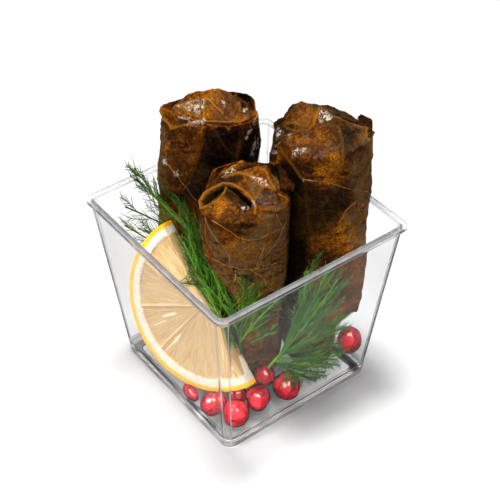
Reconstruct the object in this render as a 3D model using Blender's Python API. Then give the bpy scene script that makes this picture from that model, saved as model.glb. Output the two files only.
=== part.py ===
# A portion of dolma in its clear cup: three stuffed vine-leaf rolls standing in a tapered square
# beaker with half a slice of lemon, three sprigs of dill and a few pomegranate seeds.
#
# Frame: metres, +Z up, origin at the middle of the foot the cup stands on. The cup's walls run
# along X and Y. The broad sides of the rolls and the lemon face the corner at +X -Y.

import math
import random

import bpy
import numpy as np
from mathutils import Vector
from mathutils.bvhtree import BVHTree

MM = 0.001
GAP = 0.4 * MM                    # air left between two pieces that touch

# Cup
RIM_SIDE = 66 * MM
BASE_SIDE = 53 * MM
CUP_HEIGHT = 60 * MM
WALL = 1.2 * MM
LIP_HEIGHT = 1.4 * MM
LIP_REACH = 0.7 * MM              # how far the lip stands out from the wall
LIP_ROUNDING = 0.35 * MM
RIM_CORNER = 2.6 * MM
WALL_CORNER = 3.2 * MM
FLOOR_TOP = 3.2 * MM
FOOT_RECESS = 1.0 * MM
FOOT_WIDTH = 3.0 * MM
CORNER_STEPS = 5

# Rolls
ROLL_FOOT = FLOOR_TOP + GAP
ROLL_FLATNESS = 0.78              # depth of a roll over its width
BROAD_SIDE_TURN = math.radians(53)
ROLL_STEPS_ROUND = 40
ROLL_SIDE_ROWS = 12
FOOT_ROUNDING = 5.0 * MM
LEAF = 0.7 * MM                   # the step where one leaf lies over another
DILL_ROOM = 1.5 * MM              # the sprig's layer between the slice and the rolls
SQUASH = 1.2 * MM                 # how softly a roll flattens against what it touches

# Lemon
SLICE_MIDDLE = (0.5 * MM, -15.2 * MM, 32.6 * MM)
SLICE_TURN = math.radians(15.4)
SLICE_LEAN = math.radians(16.7)
SLICE_SPIN = math.radians(227)
SLICE_HALF_WIDTH = 26.6 * MM
SLICE_DEPTH = 28.5 * MM
SLICE_THICK = 4.5 * MM
SEGMENTS = 5
SEED_STEPS_ROUND = 10

# Dill
THREAD = 0.28 * MM                # radius of a leaflet
STALK = 0.45 * MM                 # radius of a sprig's stalk at its root

COLOURS = {
    "cup": ((0.86, 0.88, 0.9, 1), 0.06),
    "dolma": ((0.13, 0.065, 0.012, 1), 0.32),
    "lemon": ((0.86, 0.55, 0.16, 1), 0.4),
    "dill": ((0.05, 0.15, 0.012, 1), 0.5),
    "seed": ((0.55, 0.015, 0.03, 1), 0.15),
}

ACROSS = np.array([math.cos(BROAD_SIDE_TURN), math.sin(BROAD_SIDE_TURN)])
DEEP = np.array([-math.sin(BROAD_SIDE_TURN), math.cos(BROAD_SIDE_TURN)])
WALL_SLOPE = (RIM_SIDE - 2 * LIP_REACH - BASE_SIDE) / 2 / CUP_HEIGHT

# Each roll: where its middle stands and ends, its height, its radius low, half way and on top,
# the turn and lean of its outer leaf's edge, and the planes that its folded end is made of,
# as (direction the plane falls towards in degrees, slope, height over the roll's end in mm).
# The collar is the outer leaf standing round the end, with a groove inside it along one side;
# the shoulder is how far the end rounds off where there is no collar.
ROLLS = {
    "dolma_left": {
        "foot": (-14.4 * MM, -8.4 * MM), "end": (-20.0 * MM, 3.4 * MM), "height": 80.0 * MM,
        "radii": (12.4 * MM, 14.2 * MM, 13.0 * MM), "edge": (250, 60), "phase": 0.4,
        "planes": ((270, 0.8, 5.6), (215, 0.5, 6.3), (180, 0.45, 7.1), (90, 1.0, 10.9),
                   (0, 0.62, 9.1), (315, 0.62, 8.4), (45, 0.8, 10.8)),
        "collar": 1.0 * MM, "groove": 2.6 * MM, "groove_side": (0, 360), "shoulder": 0.0,
    },
    "dolma_right": {
        "foot": (13.2 * MM, 14.4 * MM), "end": (7.8 * MM, 20.2 * MM), "height": 79.0 * MM,
        "radii": (7.0 * MM, 14.1 * MM, 13.3 * MM), "edge": (300, -50), "phase": 2.1,
        "planes": ((270, 0.5, 6.2), (225, 0.6, 8.9), (180, 0.9, 13.6), (90, 1.0, 13.7),
                   (0, 0.3, 7.0), (315, 0.45, 5.4)),
        "collar": 2.6 * MM, "groove": 1.8 * MM, "groove_side": (20, 175), "shoulder": 2.6 * MM,
    },
    "dolma_front": {
        "foot": (4.6 * MM, -2.8 * MM), "end": (5.2 * MM, -3.9 * MM), "height": 73.0 * MM,
        "radii": (9.6 * MM, 12.1 * MM, 12.1 * MM), "edge": (235, 70), "phase": 4.0,
        "planes": ((270, 0.6, 2.4), (230, 0.55, 2.8), (180, 0.4, 4.0), (90, 0.28, 4.6),
                   (0, 0.36, 4.2), (315, 0.55, 2.8), (200, 0.0, 3.6)),
        "collar": 1.6 * MM, "groove": 2.2 * MM, "groove_side": (40, 170), "shoulder": 3.2 * MM,
    },
}

# Each seed: its middle, its half sizes, its turn in degrees and its number.
SEEDS = (
    ((22.2, 22.4, 13.0), (3.5, 3.6, 4.4), 20, 1),
    ((21.4, -1.2, 7.6), (4.0, 4.3, 4.0), 75, 2),
    ((15.9, -5.2, 10.0), (3.0, 3.0, 3.3), 10, 3),
    ((19.9, -10.9, 7.5), (3.6, 3.9, 3.9), 50, 4),
    ((21.2, -19.9, 8.1), (3.8, 3.9, 4.2), 130, 5),
    ((14.1, -22.3, 7.4), (3.4, 3.2, 3.8), 100, 6),
    ((5.7, -24.0, 6.0), (3.2, 1.6, 2.4), 0, 7),
    ((14.8, -14.0, 6.3), (2.4, 2.4, 2.6), 30, 8),
)

# Each sprig: the number its chances are drawn with, the leaflets on a branch, and its fronds in
# the plane it lies in, as (root, tip, branches, spread, bend), in mm and radians. The first
# frond is the stalk that the others spring from.
SPRIGS = {
    "dill_left": (9, 2, (
        ((9, -3.4), (-27, -5.2), 6, 0.6, 0.1),
        ((-20, -4.7), (-44.5, 7.5), 4, 0.5, -0.3),
        ((-15, -4.4), (-37.5, 15.0), 4, 0.5, -0.2),
        ((-10, -4.0), (-29.5, 14.0), 2, 0.5, -0.2),
        ((-23, -5.0), (-38.5, -6.8), 2, 0.5, 0.1),
    )),
    "dill_front": (8, 2, (
        ((-2.2, 22.5), (-5.0, 44.0), 5, 0.75, 0.1),
        ((-2.4, 29), (5.5, 42), 3, 0.6, -0.3),
        ((-2.8, 32), (-11.5, 50), 4, 0.6, 0.3),
    )),
    "dill_right": (13, 2, (
        ((-12.8, 27.5), (9.5, 50.5), 4, 0.4, 0.35),
        ((-4.5, 31), (13.8, 37.5), 4, 0.45, 0.1),
        ((-7, 29), (17, 18), 3, 0.45, 0.2),
        ((-9.5, 28), (11.5, 8), 3, 0.45, 0.3),
        ((-4.0, 31.5), (1.5, 61.5), 3, 0.4, 0.1),
    )),
}


def inner_half(z):
    """half the clear width between two walls at height z"""
    return BASE_SIDE / 2 + WALL_SLOPE * np.minimum(z, CUP_HEIGHT) - WALL


def material(kind):
    colour, roughness = COLOURS[kind]
    found = bpy.data.materials.get(kind)
    if found:
        return found
    made = bpy.data.materials.new(kind)
    made.use_nodes = True
    shader = made.node_tree.nodes["Principled BSDF"]
    shader.inputs["Base Color"].default_value = colour
    shader.inputs["Roughness"].default_value = roughness
    if kind == "cup":
        shader.inputs["Transmission Weight"].default_value = 1.0
        shader.inputs["IOR"].default_value = 1.49
    return made


def add_object(name, points, faces, kind, smooth_below=35):
    mesh = bpy.data.meshes.new(name)
    mesh.from_pydata([tuple(p) for p in points], [], faces)
    mesh.materials.append(material(kind))
    mesh.shade_smooth()
    mesh.set_sharp_from_angle(angle=math.radians(smooth_below))
    item = bpy.data.objects.new(name, mesh)
    bpy.context.scene.collection.objects.link(item)
    return item


def ring_faces(rows, count):
    """quads between closed rings that run anticlockwise seen from above, listed upwards"""
    faces = []
    for row in range(rows - 1):
        for k in range(count):
            a, b = row * count + k, row * count + (k + 1) % count
            faces.append((a, b, b + count, a + count))
    return faces


def closed_rings(rings, first, last):
    """points and faces of a stack of rings closed by a fan to a middle point at each end"""
    count = len(rings[0])
    points = np.vstack(list(rings) + [np.array([first]), np.array([last])])
    faces = ring_faces(len(rings), count)
    low, high = len(points) - 2, len(points) - 1
    top = (len(rings) - 1) * count
    for k in range(count):
        after = (k + 1) % count
        faces.append((low, after, k))
        faces.append((high, top + k, top + after))
    return points, faces


def rounded_square(side, corner, z):
    """a ring with straight sides and round corners, anticlockwise seen from above"""
    quarter = np.linspace(0, math.pi / 2, CORNER_STEPS)
    reach = side / 2 - corner
    ring = []
    for turn, (sx, sy) in enumerate(((1, 1), (-1, 1), (-1, -1), (1, -1))):
        angle = quarter + turn * math.pi / 2
        ring.append(np.column_stack((
            sx * reach + corner * np.cos(angle),
            sy * reach + corner * np.sin(angle),
            np.full(CORNER_STEPS, z),
        )))
    return np.vstack(ring)


def make_cup():
    """from the recess under the floor, up the outside, over the lip and down to the floor"""
    under_lip = CUP_HEIGHT - LIP_HEIGHT
    wall_side = BASE_SIDE + 2 * WALL_SLOPE * under_lip
    inner_top = RIM_SIDE - 2 * LIP_REACH - 2 * WALL
    inner_low = 2 * float(inner_half(FLOOR_TOP))
    recess = BASE_SIDE - 2 * FOOT_WIDTH
    corner = WALL_CORNER
    profile = (
        (recess - 0.8 * MM, corner - WALL, FOOT_RECESS),
        (recess, corner - WALL, 0.0),
        (BASE_SIDE - 0.8 * MM, corner, 0.0),
        (BASE_SIDE, corner, 0.4 * MM),
        (wall_side, corner, under_lip),
        (RIM_SIDE, RIM_CORNER, under_lip),
        (RIM_SIDE, RIM_CORNER, CUP_HEIGHT - LIP_ROUNDING),
        (RIM_SIDE - 2 * LIP_ROUNDING, RIM_CORNER, CUP_HEIGHT),
        (inner_top + 2 * LIP_ROUNDING, corner - WALL, CUP_HEIGHT),
        (inner_top, corner - WALL, CUP_HEIGHT - LIP_ROUNDING),
        (inner_low + 0.3 * MM, corner - WALL, FLOOR_TOP + 1.0 * MM),
        (inner_low - 1.4 * MM, corner - WALL, FLOOR_TOP),
    )
    rings = [rounded_square(*row) for row in profile]
    points, faces = closed_rings(rings, (0, 0, FOOT_RECESS), (0, 0, FLOOR_TOP))
    return add_object("cup", points, faces, "cup", smooth_below=20)


def slice_axes():
    """unit vectors of the lemon slice: out of its face, along its cut edge, and away from it"""
    face = np.array([
        math.sin(SLICE_TURN) * math.cos(SLICE_LEAN),
        -math.cos(SLICE_TURN) * math.cos(SLICE_LEAN),
        math.sin(SLICE_LEAN),
    ])
    level = np.array([math.cos(SLICE_TURN), math.sin(SLICE_TURN), 0.0])
    steep = np.cross(face, level)
    along = -math.sin(SLICE_SPIN) * level + math.cos(SLICE_SPIN) * steep
    away = math.cos(SLICE_SPIN) * level + math.sin(SLICE_SPIN) * steep
    return face, along, away


def smooth_step(value, low, high):
    t = np.clip((value - low) / (high - low), 0, 1)
    return t * t * (3 - 2 * t)


def soften(value, limit):
    """value kept below limit: untouched until SQUASH short of it, then easing towards it"""
    over = np.maximum(value - limit + SQUASH, 0)
    return np.where(over > 0, limit - SQUASH * np.exp(-over / SQUASH), value)


def over_slice(local):
    """1 where a place is in front of or behind the lemon slice, falling to 0 round it"""
    _, along, away = slice_axes()
    p, q = local @ along, local @ away
    outside = np.hypot(p / (SLICE_HALF_WIDTH + 3 * MM), q / (SLICE_DEPTH + 3 * MM))
    return (1 - smooth_step(outside, 1.0, 1.3)) * smooth_step(q, -15 * MM, -4 * MM)


def pressed_by_slice(points):
    """pushes points back behind the lemon slice and the dill on its back"""
    face, _, _ = slice_axes()
    local = points - np.array(SLICE_MIDDLE)
    forward = local @ face
    pushed = forward - soften(forward, -SLICE_THICK - DILL_ROOM - GAP)
    return points - (over_slice(local) * pushed)[:, None] * face


def pressed_by_seeds(name, points):
    """dents a roll flat where a seed is pressed into it"""
    for middle, halves, _, _ in SEEDS:
        middle = np.array(middle) * MM
        inward, _ = roll_axis(ROLLS[name], middle[2:])
        inward = np.append(inward[0] - middle[:2], 0.0)
        inward /= np.linalg.norm(inward)
        local = points - middle
        reach = local @ inward
        aside = np.linalg.norm(local - reach[:, None] * inward, axis=1)
        size = max(halves) * MM
        near = (1 - smooth_step(aside, size, 3 * size)) * (reach > -3 * size)
        moved = reach + soften(-reach, -size - 2 * GAP)
        points = points - (near * moved)[:, None] * inward
    return points


def roll_axis(roll, z):
    """middle and radius of a roll at the heights z"""
    t = np.clip((z - ROLL_FOOT) / (roll["height"] - ROLL_FOOT), 0, 1)[:, None]
    middle = np.array(roll["foot"]) * (1 - t) + np.array(roll["end"]) * t
    low, half, high = roll["radii"]
    t = t[:, 0]
    radius = low * (1 - t) * (1 - 2 * t) + half * 4 * t * (1 - t) + high * t * (2 * t - 1)
    return middle, radius


def pressed_by_neighbours(name, points):
    """flattens a roll where it meets the walls, the sprig at the +X wall and the other rolls"""
    points = points.copy()
    z = points[:, 2]
    middle, radius = roll_axis(ROLLS[name], z)
    for other, roll in ROLLS.items():
        if other == name:
            continue
        their_middle, their_radius = roll_axis(roll, z)
        between = their_middle - middle
        across, deep = between @ ACROSS, between @ DEEP / ROLL_FLATNESS
        distance = np.hypot(across, deep)
        limit = distance * radius / (radius + their_radius) - 0.7 * GAP
        local = points[:, :2] - middle
        reach = (local @ ACROSS * across + local @ DEEP / ROLL_FLATNESS * deep) / distance
        over = (reach - soften(reach, limit)) / distance
        points[:, :2] -= (over * across)[:, None] * ACROSS
        points[:, :2] -= (over * deep * ROLL_FLATNESS)[:, None] * DEEP
    free = inner_half(z) - GAP + smooth_step(z, CUP_HEIGHT + MM, CUP_HEIGHT + 8 * MM) * 2 * MM
    for axis, spare in ((0, 1.6 * MM), (1, 0.0)):
        points[:, axis] = soften(points[:, axis], free - spare)
        points[:, axis] = -soften(-points[:, axis], free)
    return points


def wave(angle, t, phase):
    """low lumps round a roll: three sines of the angle that drift along it, in metres"""
    lumps = 0.42 * np.sin(2 * angle + phase + 2.2 * t)
    lumps += 0.3 * np.sin(3 * angle - 2 * phase + 5 * t)
    lumps += 0.2 * np.sin(7 * angle + 3 * phase - 9 * t)
    lumps += 0.16 * np.sin(5 * angle + 23 * t + phase)
    return lumps * MM


def leaf_edge(roll, angle, t):
    """the outer leaf's free edge: a step of one leaf that fades away round the roll"""
    start, lean = roll["edge"]
    past = np.mod(angle - np.radians(start + lean * t), 2 * math.pi)
    return LEAF * np.exp(-past / 1.6)


def end_height(roll, x, y):
    """height of the folded end over the roll's end: the lowest of its planes"""
    lowest = np.full(np.shape(x), np.inf)
    for turn, slope, height in roll["planes"]:
        fall = x * math.cos(math.radians(turn)) + y * math.sin(math.radians(turn))
        lowest = np.minimum(lowest, height * MM - slope * fall)
    return lowest


def roll_ring(roll, share, z):
    """a ring round a roll, share of its radius out: its places across and deep, and its points"""
    angle = np.linspace(0, 2 * math.pi, ROLL_STEPS_ROUND, endpoint=False)
    height = roll["height"]
    t = np.clip((z - ROLL_FOOT) / (height - ROLL_FOOT), 0, 1)
    middle, radius = roll_axis(roll, np.full(ROLL_STEPS_ROUND, z))
    radius = radius + wave(angle, t, roll["phase"]) + leaf_edge(roll, angle, t)
    x = share * radius * np.cos(angle)
    y = share * radius * ROLL_FLATNESS * np.sin(angle)
    backwards = (np.array(roll["end"]) - np.array(roll["foot"])) @ DEEP / height
    lift = -backwards * y * smooth_step(z, 0.4 * height, height)
    flat = middle + x[:, None] * ACROSS + y[:, None] * DEEP
    return angle, x, y, np.column_stack((flat, z + lift))


def end_lift(roll, share, angle, x, y):
    """height of the end over the roll's height: collar, groove inside it, then the folds"""
    opens, closes = np.radians(roll["groove_side"])
    off = np.abs(np.mod(angle - (opens + closes) / 2 + math.pi, 2 * math.pi) - math.pi)
    half_gap = (closes - opens) / 2
    gap = 1 - smooth_step(off, half_gap - 0.5, half_gap + 0.01)
    folded = end_height(roll, x, y)
    collar = roll["collar"] * (1 + 0.4 * np.sin(2 * angle + roll["phase"]))
    rounded = roll["shoulder"] * (1 - math.sqrt(1 - smooth_step(share, 0.55, 1.03) ** 2))
    plain = folded - rounded
    if share > 0.94:
        return gap * collar + (1 - gap) * plain
    if share > 0.88:
        return gap * (np.minimum(folded, collar) - roll["groove"]) + (1 - gap) * plain
    return gap * folded + (1 - gap) * plain


def make_roll(name):
    """rows up a rolled leaf: its rounded foot, its side, then its folded end to the middle"""
    roll = ROLLS[name]
    height = roll["height"]
    rows = []
    for turn in np.radians((0, 30, 60)):
        share = 1 - FOOT_ROUNDING * (1 - math.sin(turn)) / roll["radii"][0]
        rows.append(roll_ring(roll, share, ROLL_FOOT + FOOT_ROUNDING * (1 - math.cos(turn)))[3])
    angle, x, y, _ = roll_ring(roll, 1.0, height)
    lowered = np.minimum(end_lift(roll, 1.0, angle, x, y), 0)
    for z in np.linspace(ROLL_FOOT + FOOT_ROUNDING, height - 3.5 * MM, ROLL_SIDE_ROWS):
        points = roll_ring(roll, 1.0, z)[3]
        points[:, 2] += lowered * max(1 - (height - z) / (25 * MM), 0) ** 0.7
        rows.append(points)
    for share in (1.0, 0.95, 0.92, 0.86, 0.74, 0.58, 0.4, 0.2):
        angle, x, y, points = roll_ring(roll, share, height)
        points[:, 2] += end_lift(roll, share, angle, x, y)
        rows.append(points)
    foot = np.append(roll["foot"], ROLL_FOOT)
    peak = np.append(roll["end"], height + float(end_height(roll, 0.0, 0.0)))
    points, faces = closed_rings(rows, foot, peak)
    for _ in range(2):
        points = pressed_by_neighbours(name, points)
        points = pressed_by_slice(points)
    points = pressed_by_seeds(name, points)
    return add_object(name, points, faces, "dolma")


def make_lemon():
    """a half slice: rings shrunk towards a middle point, front face, rind and back face"""
    face, along, away = slice_axes()
    arc = np.linspace(-math.pi / 2, math.pi / 2, 25)
    outline = np.column_stack((SLICE_HALF_WIDTH * np.sin(arc), SLICE_DEPTH * np.cos(arc)))
    chord = np.linspace(1, -1, 9)[1:-1]
    cut = np.column_stack((SLICE_HALF_WIDTH * chord, np.zeros(len(chord))))
    outline = np.vstack((outline, cut))[::-1]
    centre = np.array([0.0, 0.42 * SLICE_DEPTH])

    def ring(shrink, depth):
        flat = centre + (outline - centre) * (1 - shrink)
        turn = np.arctan2(flat[:, 0], np.maximum(flat[:, 1], 1e-6))
        sunk = 0.35 * MM * np.abs(np.sin(turn * SEGMENTS)) if shrink > 0.2 else 0.0
        inward = depth + sunk if depth < SLICE_THICK / 2 else depth - sunk
        return (np.array(SLICE_MIDDLE) + flat[:, :1] * along + flat[:, 1:] * away
                - np.reshape(inward, (-1, 1)) * face)

    bevel = 0.012
    shrinks = (0.55, 0.24, 0.12, bevel)
    rings = [ring(s, 0.0) for s in shrinks]
    rings += [ring(0.0, 0.3 * SLICE_THICK), ring(0.0, 0.7 * SLICE_THICK)]
    rings += [ring(s, SLICE_THICK) for s in reversed(shrinks)]
    middle = np.array(SLICE_MIDDLE) + centre[1] * away
    points, faces = closed_rings(rings, middle, middle - SLICE_THICK * face)
    return add_object("lemon_slice", points, faces, "lemon")


def seed_radius(directions, draw):
    """a rounded many-sided stone: the p-norm of the directions over eight tilted planes"""
    power = 7
    total = np.zeros(len(directions))
    for k in range(8):
        high = 1 - 2 * (k + 0.5) / 8
        turn = 2.4 * k + draw.uniform(-0.3, 0.3)
        flat = math.sqrt(1 - high * high)
        normal = np.array([flat * math.cos(turn), flat * math.sin(turn), high])
        total += np.maximum(directions @ normal, 0) ** power / draw.uniform(0.86, 1.0) ** power
    return total ** (-1 / power)


def make_seed(middle, halves, turn, number):
    """a pomegranate seed: an ellipsoid with soft flat sides and a blunt tip"""
    draw = random.Random(number)
    around = np.linspace(0, 2 * math.pi, SEED_STEPS_ROUND, endpoint=False)
    rings = []
    for lift in np.linspace(-math.pi / 2, math.pi / 2, 9)[1:-1]:
        rings.append(np.column_stack((
            math.cos(lift) * np.cos(around),
            math.cos(lift) * np.sin(around),
            np.full(SEED_STEPS_ROUND, math.sin(lift)),
        )))
    points, faces = closed_rings(rings, (0, 0, -1), (0, 0, 1))
    radius = np.minimum(seed_radius(points, draw), 1.0)
    points = points * radius[:, None] * np.array(halves) * MM
    c, s = math.cos(math.radians(turn)), math.sin(math.radians(turn))
    points = points @ np.array([[c, s, 0], [-s, c, 0], [0, 0, 1]])
    points += np.array(middle) * MM
    return add_object(f"pomegranate_seed_{number}", points, faces, "seed", smooth_below=60)


def bent_line(start, angle, reach, curl, steps):
    """a line of equal steps from start that turns by curl in all"""
    turns = angle + curl * (np.arange(steps) + 0.5) / steps
    moves = reach / steps * np.column_stack((np.cos(turns), np.sin(turns)))
    return np.vstack((start, start + np.cumsum(moves, axis=0)))


def place_on(line, share):
    """the place at a share of a line's steps"""
    place = share * (len(line) - 1)
    low = min(int(place), len(line) - 2)
    return line[low] + (line[low + 1] - line[low]) * (place - low)


def frond(draw, fronds, leaflets):
    """a sprig's threads in its plane: (line, first and last radius, parent, share along it)"""
    threads = []
    for root, tip, branches, spread, bend in fronds:
        reach = (np.array(tip) - np.array(root)) * MM
        length = float(np.linalg.norm(reach))
        heading = math.atan2(reach[1], reach[0]) - bend / 2
        stalk = bent_line(np.array(root) * MM, heading, length, bend, 7 if threads else 12)
        parent, share = None, 0.0
        if threads:
            parent = 0
            steps = np.linspace(0, 1, 61)
            gaps = [np.linalg.norm(place_on(threads[0][0], s) - stalk[0]) for s in steps]
            share = float(steps[int(np.argmin(gaps))])
        own = len(threads)
        threads.append((stalk, STALK if parent is None else 0.75 * STALK, THREAD, parent, share))
        for k in range(branches):
            share = 0.15 + 0.8 * (k + 0.5) / branches
            side = 1 if k % 2 else -1
            angle = heading + bend * share + side * (spread + draw.uniform(-0.12, 0.12))
            reach = length * (0.5 - 0.32 * share) * draw.uniform(0.85, 1.15)
            branch = bent_line(place_on(stalk, share), angle, reach, -side * 0.4, 2)
            mine = len(threads)
            threads.append((branch, THREAD * 1.2, THREAD * 0.6, own, share))
            for j in range(leaflets):
                along = 0.25 + 0.65 * (j + 0.5) / leaflets
                turn = angle - side * 0.4 * along + (1 if j % 2 else -1) * draw.uniform(0.5, 0.75)
                size = reach * draw.uniform(0.36, 0.5)
                leaf = bent_line(place_on(branch, along), turn, size, 0.2, 1)
                threads.append((leaf, THREAD, THREAD * 0.4, mine, along))
    return threads


def tube(path, first, last, sides=3):
    """points and faces of a tapering thread along a path, closed by a base and a tip"""
    rings = []
    run = np.gradient(path, axis=0)
    run /= np.linalg.norm(run, axis=1)[:, None]
    lead = np.array([0.31, -0.42, 0.85])
    steps = len(path) - 1
    for k in range(steps):
        one = np.cross(run[k], lead)
        one /= np.linalg.norm(one)
        two = np.cross(run[k], one)
        radius = first + (last - first) * k / steps
        angle = np.linspace(0, 2 * math.pi, sides, endpoint=False)[:, None]
        rings.append(path[k] + radius * (np.cos(angle) * one + np.sin(angle) * two))
    tip = steps * sides
    faces = ring_faces(steps, sides)
    faces += [(tip - sides + k, tip - sides + (k + 1) % sides, tip) for k in range(sides)]
    faces.append(tuple(reversed(range(sides))))
    return np.vstack(rings + [path[-1:]]), faces


def clear_of_rolls(points):
    """brings a thread forward to where the rolls leave room for it"""
    face, _, _ = slice_axes()
    graph = bpy.context.evaluated_depsgraph_get()
    trees = [BVHTree.FromObject(bpy.data.objects[name], graph) for name in ROLLS]
    room, step = 0.9 * MM, 0.3 * MM

    def is_clear(point, tree):
        place, normal, _, distance = tree.find_nearest(point)
        return distance > room and (point - place).dot(normal) > 0

    points = points.copy()
    for point in points:
        for _ in range(40):
            if all(is_clear(Vector(point), tree) for tree in trees):
                break
            point += step * face
    return points


def behind_slice(flat):
    """lays a sprig on the back of the lemon slice; what would pass the wall bends forward"""
    face, along, away = slice_axes()
    depth = SLICE_THICK + (GAP + DILL_ROOM) / 2
    points = np.array(SLICE_MIDDLE) + flat[:, :1] * along + flat[:, 1:] * away - depth * face
    over = np.maximum(1.4 * MM - points[:, 0] - inner_half(points[:, 2]), 0)
    points = points + over[:, None] * np.array([1.0, -0.58, 0.9])
    return clear_of_rolls(points)


def inside_right_wall(flat):
    """lays a sprig just inside the +X wall, from its (y, z) places"""
    x = inner_half(flat[:, 1]) - 0.95 * MM
    return np.column_stack((x, flat[:, 0], flat[:, 1]))


def facing_corner(flat):
    """lays a sprig in an upright plane that faces the +X -Y corner, in front of the rolls"""
    start = np.array([15.6 * MM, -10.8 * MM])
    level = start + flat[:, :1] * ACROSS
    return clear_of_rolls(np.column_stack((level, flat[:, 1])))


def make_sprig(name, lay):
    """fuses a sprig's threads, laid in space by the function lay, into one solid"""
    number, leaflets, fronds = SPRIGS[name]
    bundle = bpy.data.collections.new(name + "_threads")
    bpy.context.scene.collection.children.link(bundle)
    laid, made = [], []
    for flat, first, last, parent, share in frond(random.Random(number), fronds, leaflets):
        line = lay(flat)
        if parent is not None:
            line = line + (place_on(laid[parent], share) - line[0])
        laid.append(line)
        item = add_object(f"{name}_thread_{len(made)}", *tube(line, first, last), "dill")
        made.append(item)
    for item in made[1:]:
        bpy.context.scene.collection.objects.unlink(item)
        bundle.objects.link(item)
    union = made[0].modifiers.new("join", "BOOLEAN")
    union.operation = "UNION"
    union.operand_type = "COLLECTION"
    union.collection = bundle
    union.solver = "EXACT"
    bpy.context.view_layer.update()
    graph = bpy.context.evaluated_depsgraph_get()
    joined = bpy.data.meshes.new_from_object(made[0].evaluated_get(graph))
    for item in made:
        bpy.data.objects.remove(item)
    bpy.data.collections.remove(bundle)
    sprig = bpy.data.objects.new(name, joined)
    bpy.context.scene.collection.objects.link(sprig)
    return sprig


def main():
    for item in list(bpy.data.objects):
        bpy.data.objects.remove(item)
    make_cup()
    for name in ROLLS:
        make_roll(name)
    make_lemon()
    for seed in SEEDS:
        make_seed(*seed)
    make_sprig("dill_left", behind_slice)
    make_sprig("dill_front", facing_corner)
    make_sprig("dill_right", inside_right_wall)


main()
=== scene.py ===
import math
import random
from functools import cache

import bpy
import numpy as np
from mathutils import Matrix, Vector
from mathutils.bvhtree import BVHTree


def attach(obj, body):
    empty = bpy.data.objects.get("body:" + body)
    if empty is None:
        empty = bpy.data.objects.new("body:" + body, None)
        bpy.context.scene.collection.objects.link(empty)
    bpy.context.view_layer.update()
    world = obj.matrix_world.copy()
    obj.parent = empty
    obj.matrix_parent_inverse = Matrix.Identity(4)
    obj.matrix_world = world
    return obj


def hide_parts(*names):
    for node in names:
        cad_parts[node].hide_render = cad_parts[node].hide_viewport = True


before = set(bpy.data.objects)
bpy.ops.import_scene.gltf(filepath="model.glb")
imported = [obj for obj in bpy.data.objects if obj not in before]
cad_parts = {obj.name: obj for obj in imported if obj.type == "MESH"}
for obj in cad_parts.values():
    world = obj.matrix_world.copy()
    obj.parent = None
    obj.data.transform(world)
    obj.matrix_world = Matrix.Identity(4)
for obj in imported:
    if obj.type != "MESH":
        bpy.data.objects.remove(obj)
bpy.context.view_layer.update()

mm = 0.001
view = {
    "turn": math.radians(53), "lift": math.radians(41.4), "far": 360.3 * mm, "height": 45.35 * mm,
    "shift": 1.445 * mm, "lens": 89.8, "sensor": 36,
}
across = np.array([math.cos(view["turn"]), math.sin(view["turn"])])  # the view's right, on the table
deep = np.array([-across[1], across[0]])  # away from the view, on the table
sideways = np.append(across, 0.0)
towards = np.append(-deep * math.cos(view["lift"]), math.sin(view["lift"]))
upright = np.append(deep * math.sin(view["lift"]), math.cos(view["lift"]))
viewAim = np.array([0.0, 0.0, view["height"]])
viewEye = viewAim + view["far"] * towards


# meshes

def addPiece(name, points, quads, tris, sharpAngle=None):
    mesh = bpy.data.meshes.new(name)
    faces = np.reshape(quads, (-1, 4)).tolist() + np.reshape(tris, (-1, 3)).tolist()
    mesh.from_pydata(points.tolist(), [], faces, shade_flat=False)
    mesh.validate()
    if sharpAngle is not None:
        mesh.set_sharp_from_angle(angle=math.radians(sharpAngle))
    piece = bpy.data.objects.new(name, mesh)
    bpy.context.scene.collection.objects.link(piece)
    return piece


# faces between rows of a grid that closes round, with a point at its start and one at its end
def closedFaces(rows, cols):
    row = np.arange(rows - 1)[:, None] * cols
    col = np.arange(cols)[None, :]
    after = (col + 1) % cols
    quads = np.stack((row + col, row + after, row + cols + after, row + cols + col), axis=-1)
    first, last = rows * cols, rows * cols + 1
    col, after = col[0], after[0]
    end = (rows - 1) * cols
    start = np.stack((after, col, np.full(cols, first)), axis=-1)
    stop = np.stack((end + col, end + after, np.full(cols, last)), axis=-1)
    return quads.reshape(-1, 4), np.vstack((start, stop))


def closedPiece(name, grid, first, last, sharpAngle=None):
    quads, tris = closedFaces(*grid.shape[:2])
    return addPiece(name, np.vstack((grid.reshape(-1, 3), first, last)), quads, tris, sharpAngle)


# attributes that the materials read: values over a grid, and then at its two end points
def addValues(piece, ends=(0, 0), **fields):
    for name, values in fields.items():
        layer = piece.data.attributes.new(name, "FLOAT", "POINT")
        layer.data.foreach_set("value", np.append(np.ravel(values), ends).astype(np.float32))


# outward unit normals of a grid that closes round, from its rows' and columns' directions
def gridNormals(grid):
    beside = np.roll(grid, -1, axis=1) - np.roll(grid, 1, axis=1)
    normal = np.cross(beside, np.gradient(grid, axis=0))
    return normal / np.maximum(np.linalg.norm(normal, axis=-1, keepdims=True), 1e-12)


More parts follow.
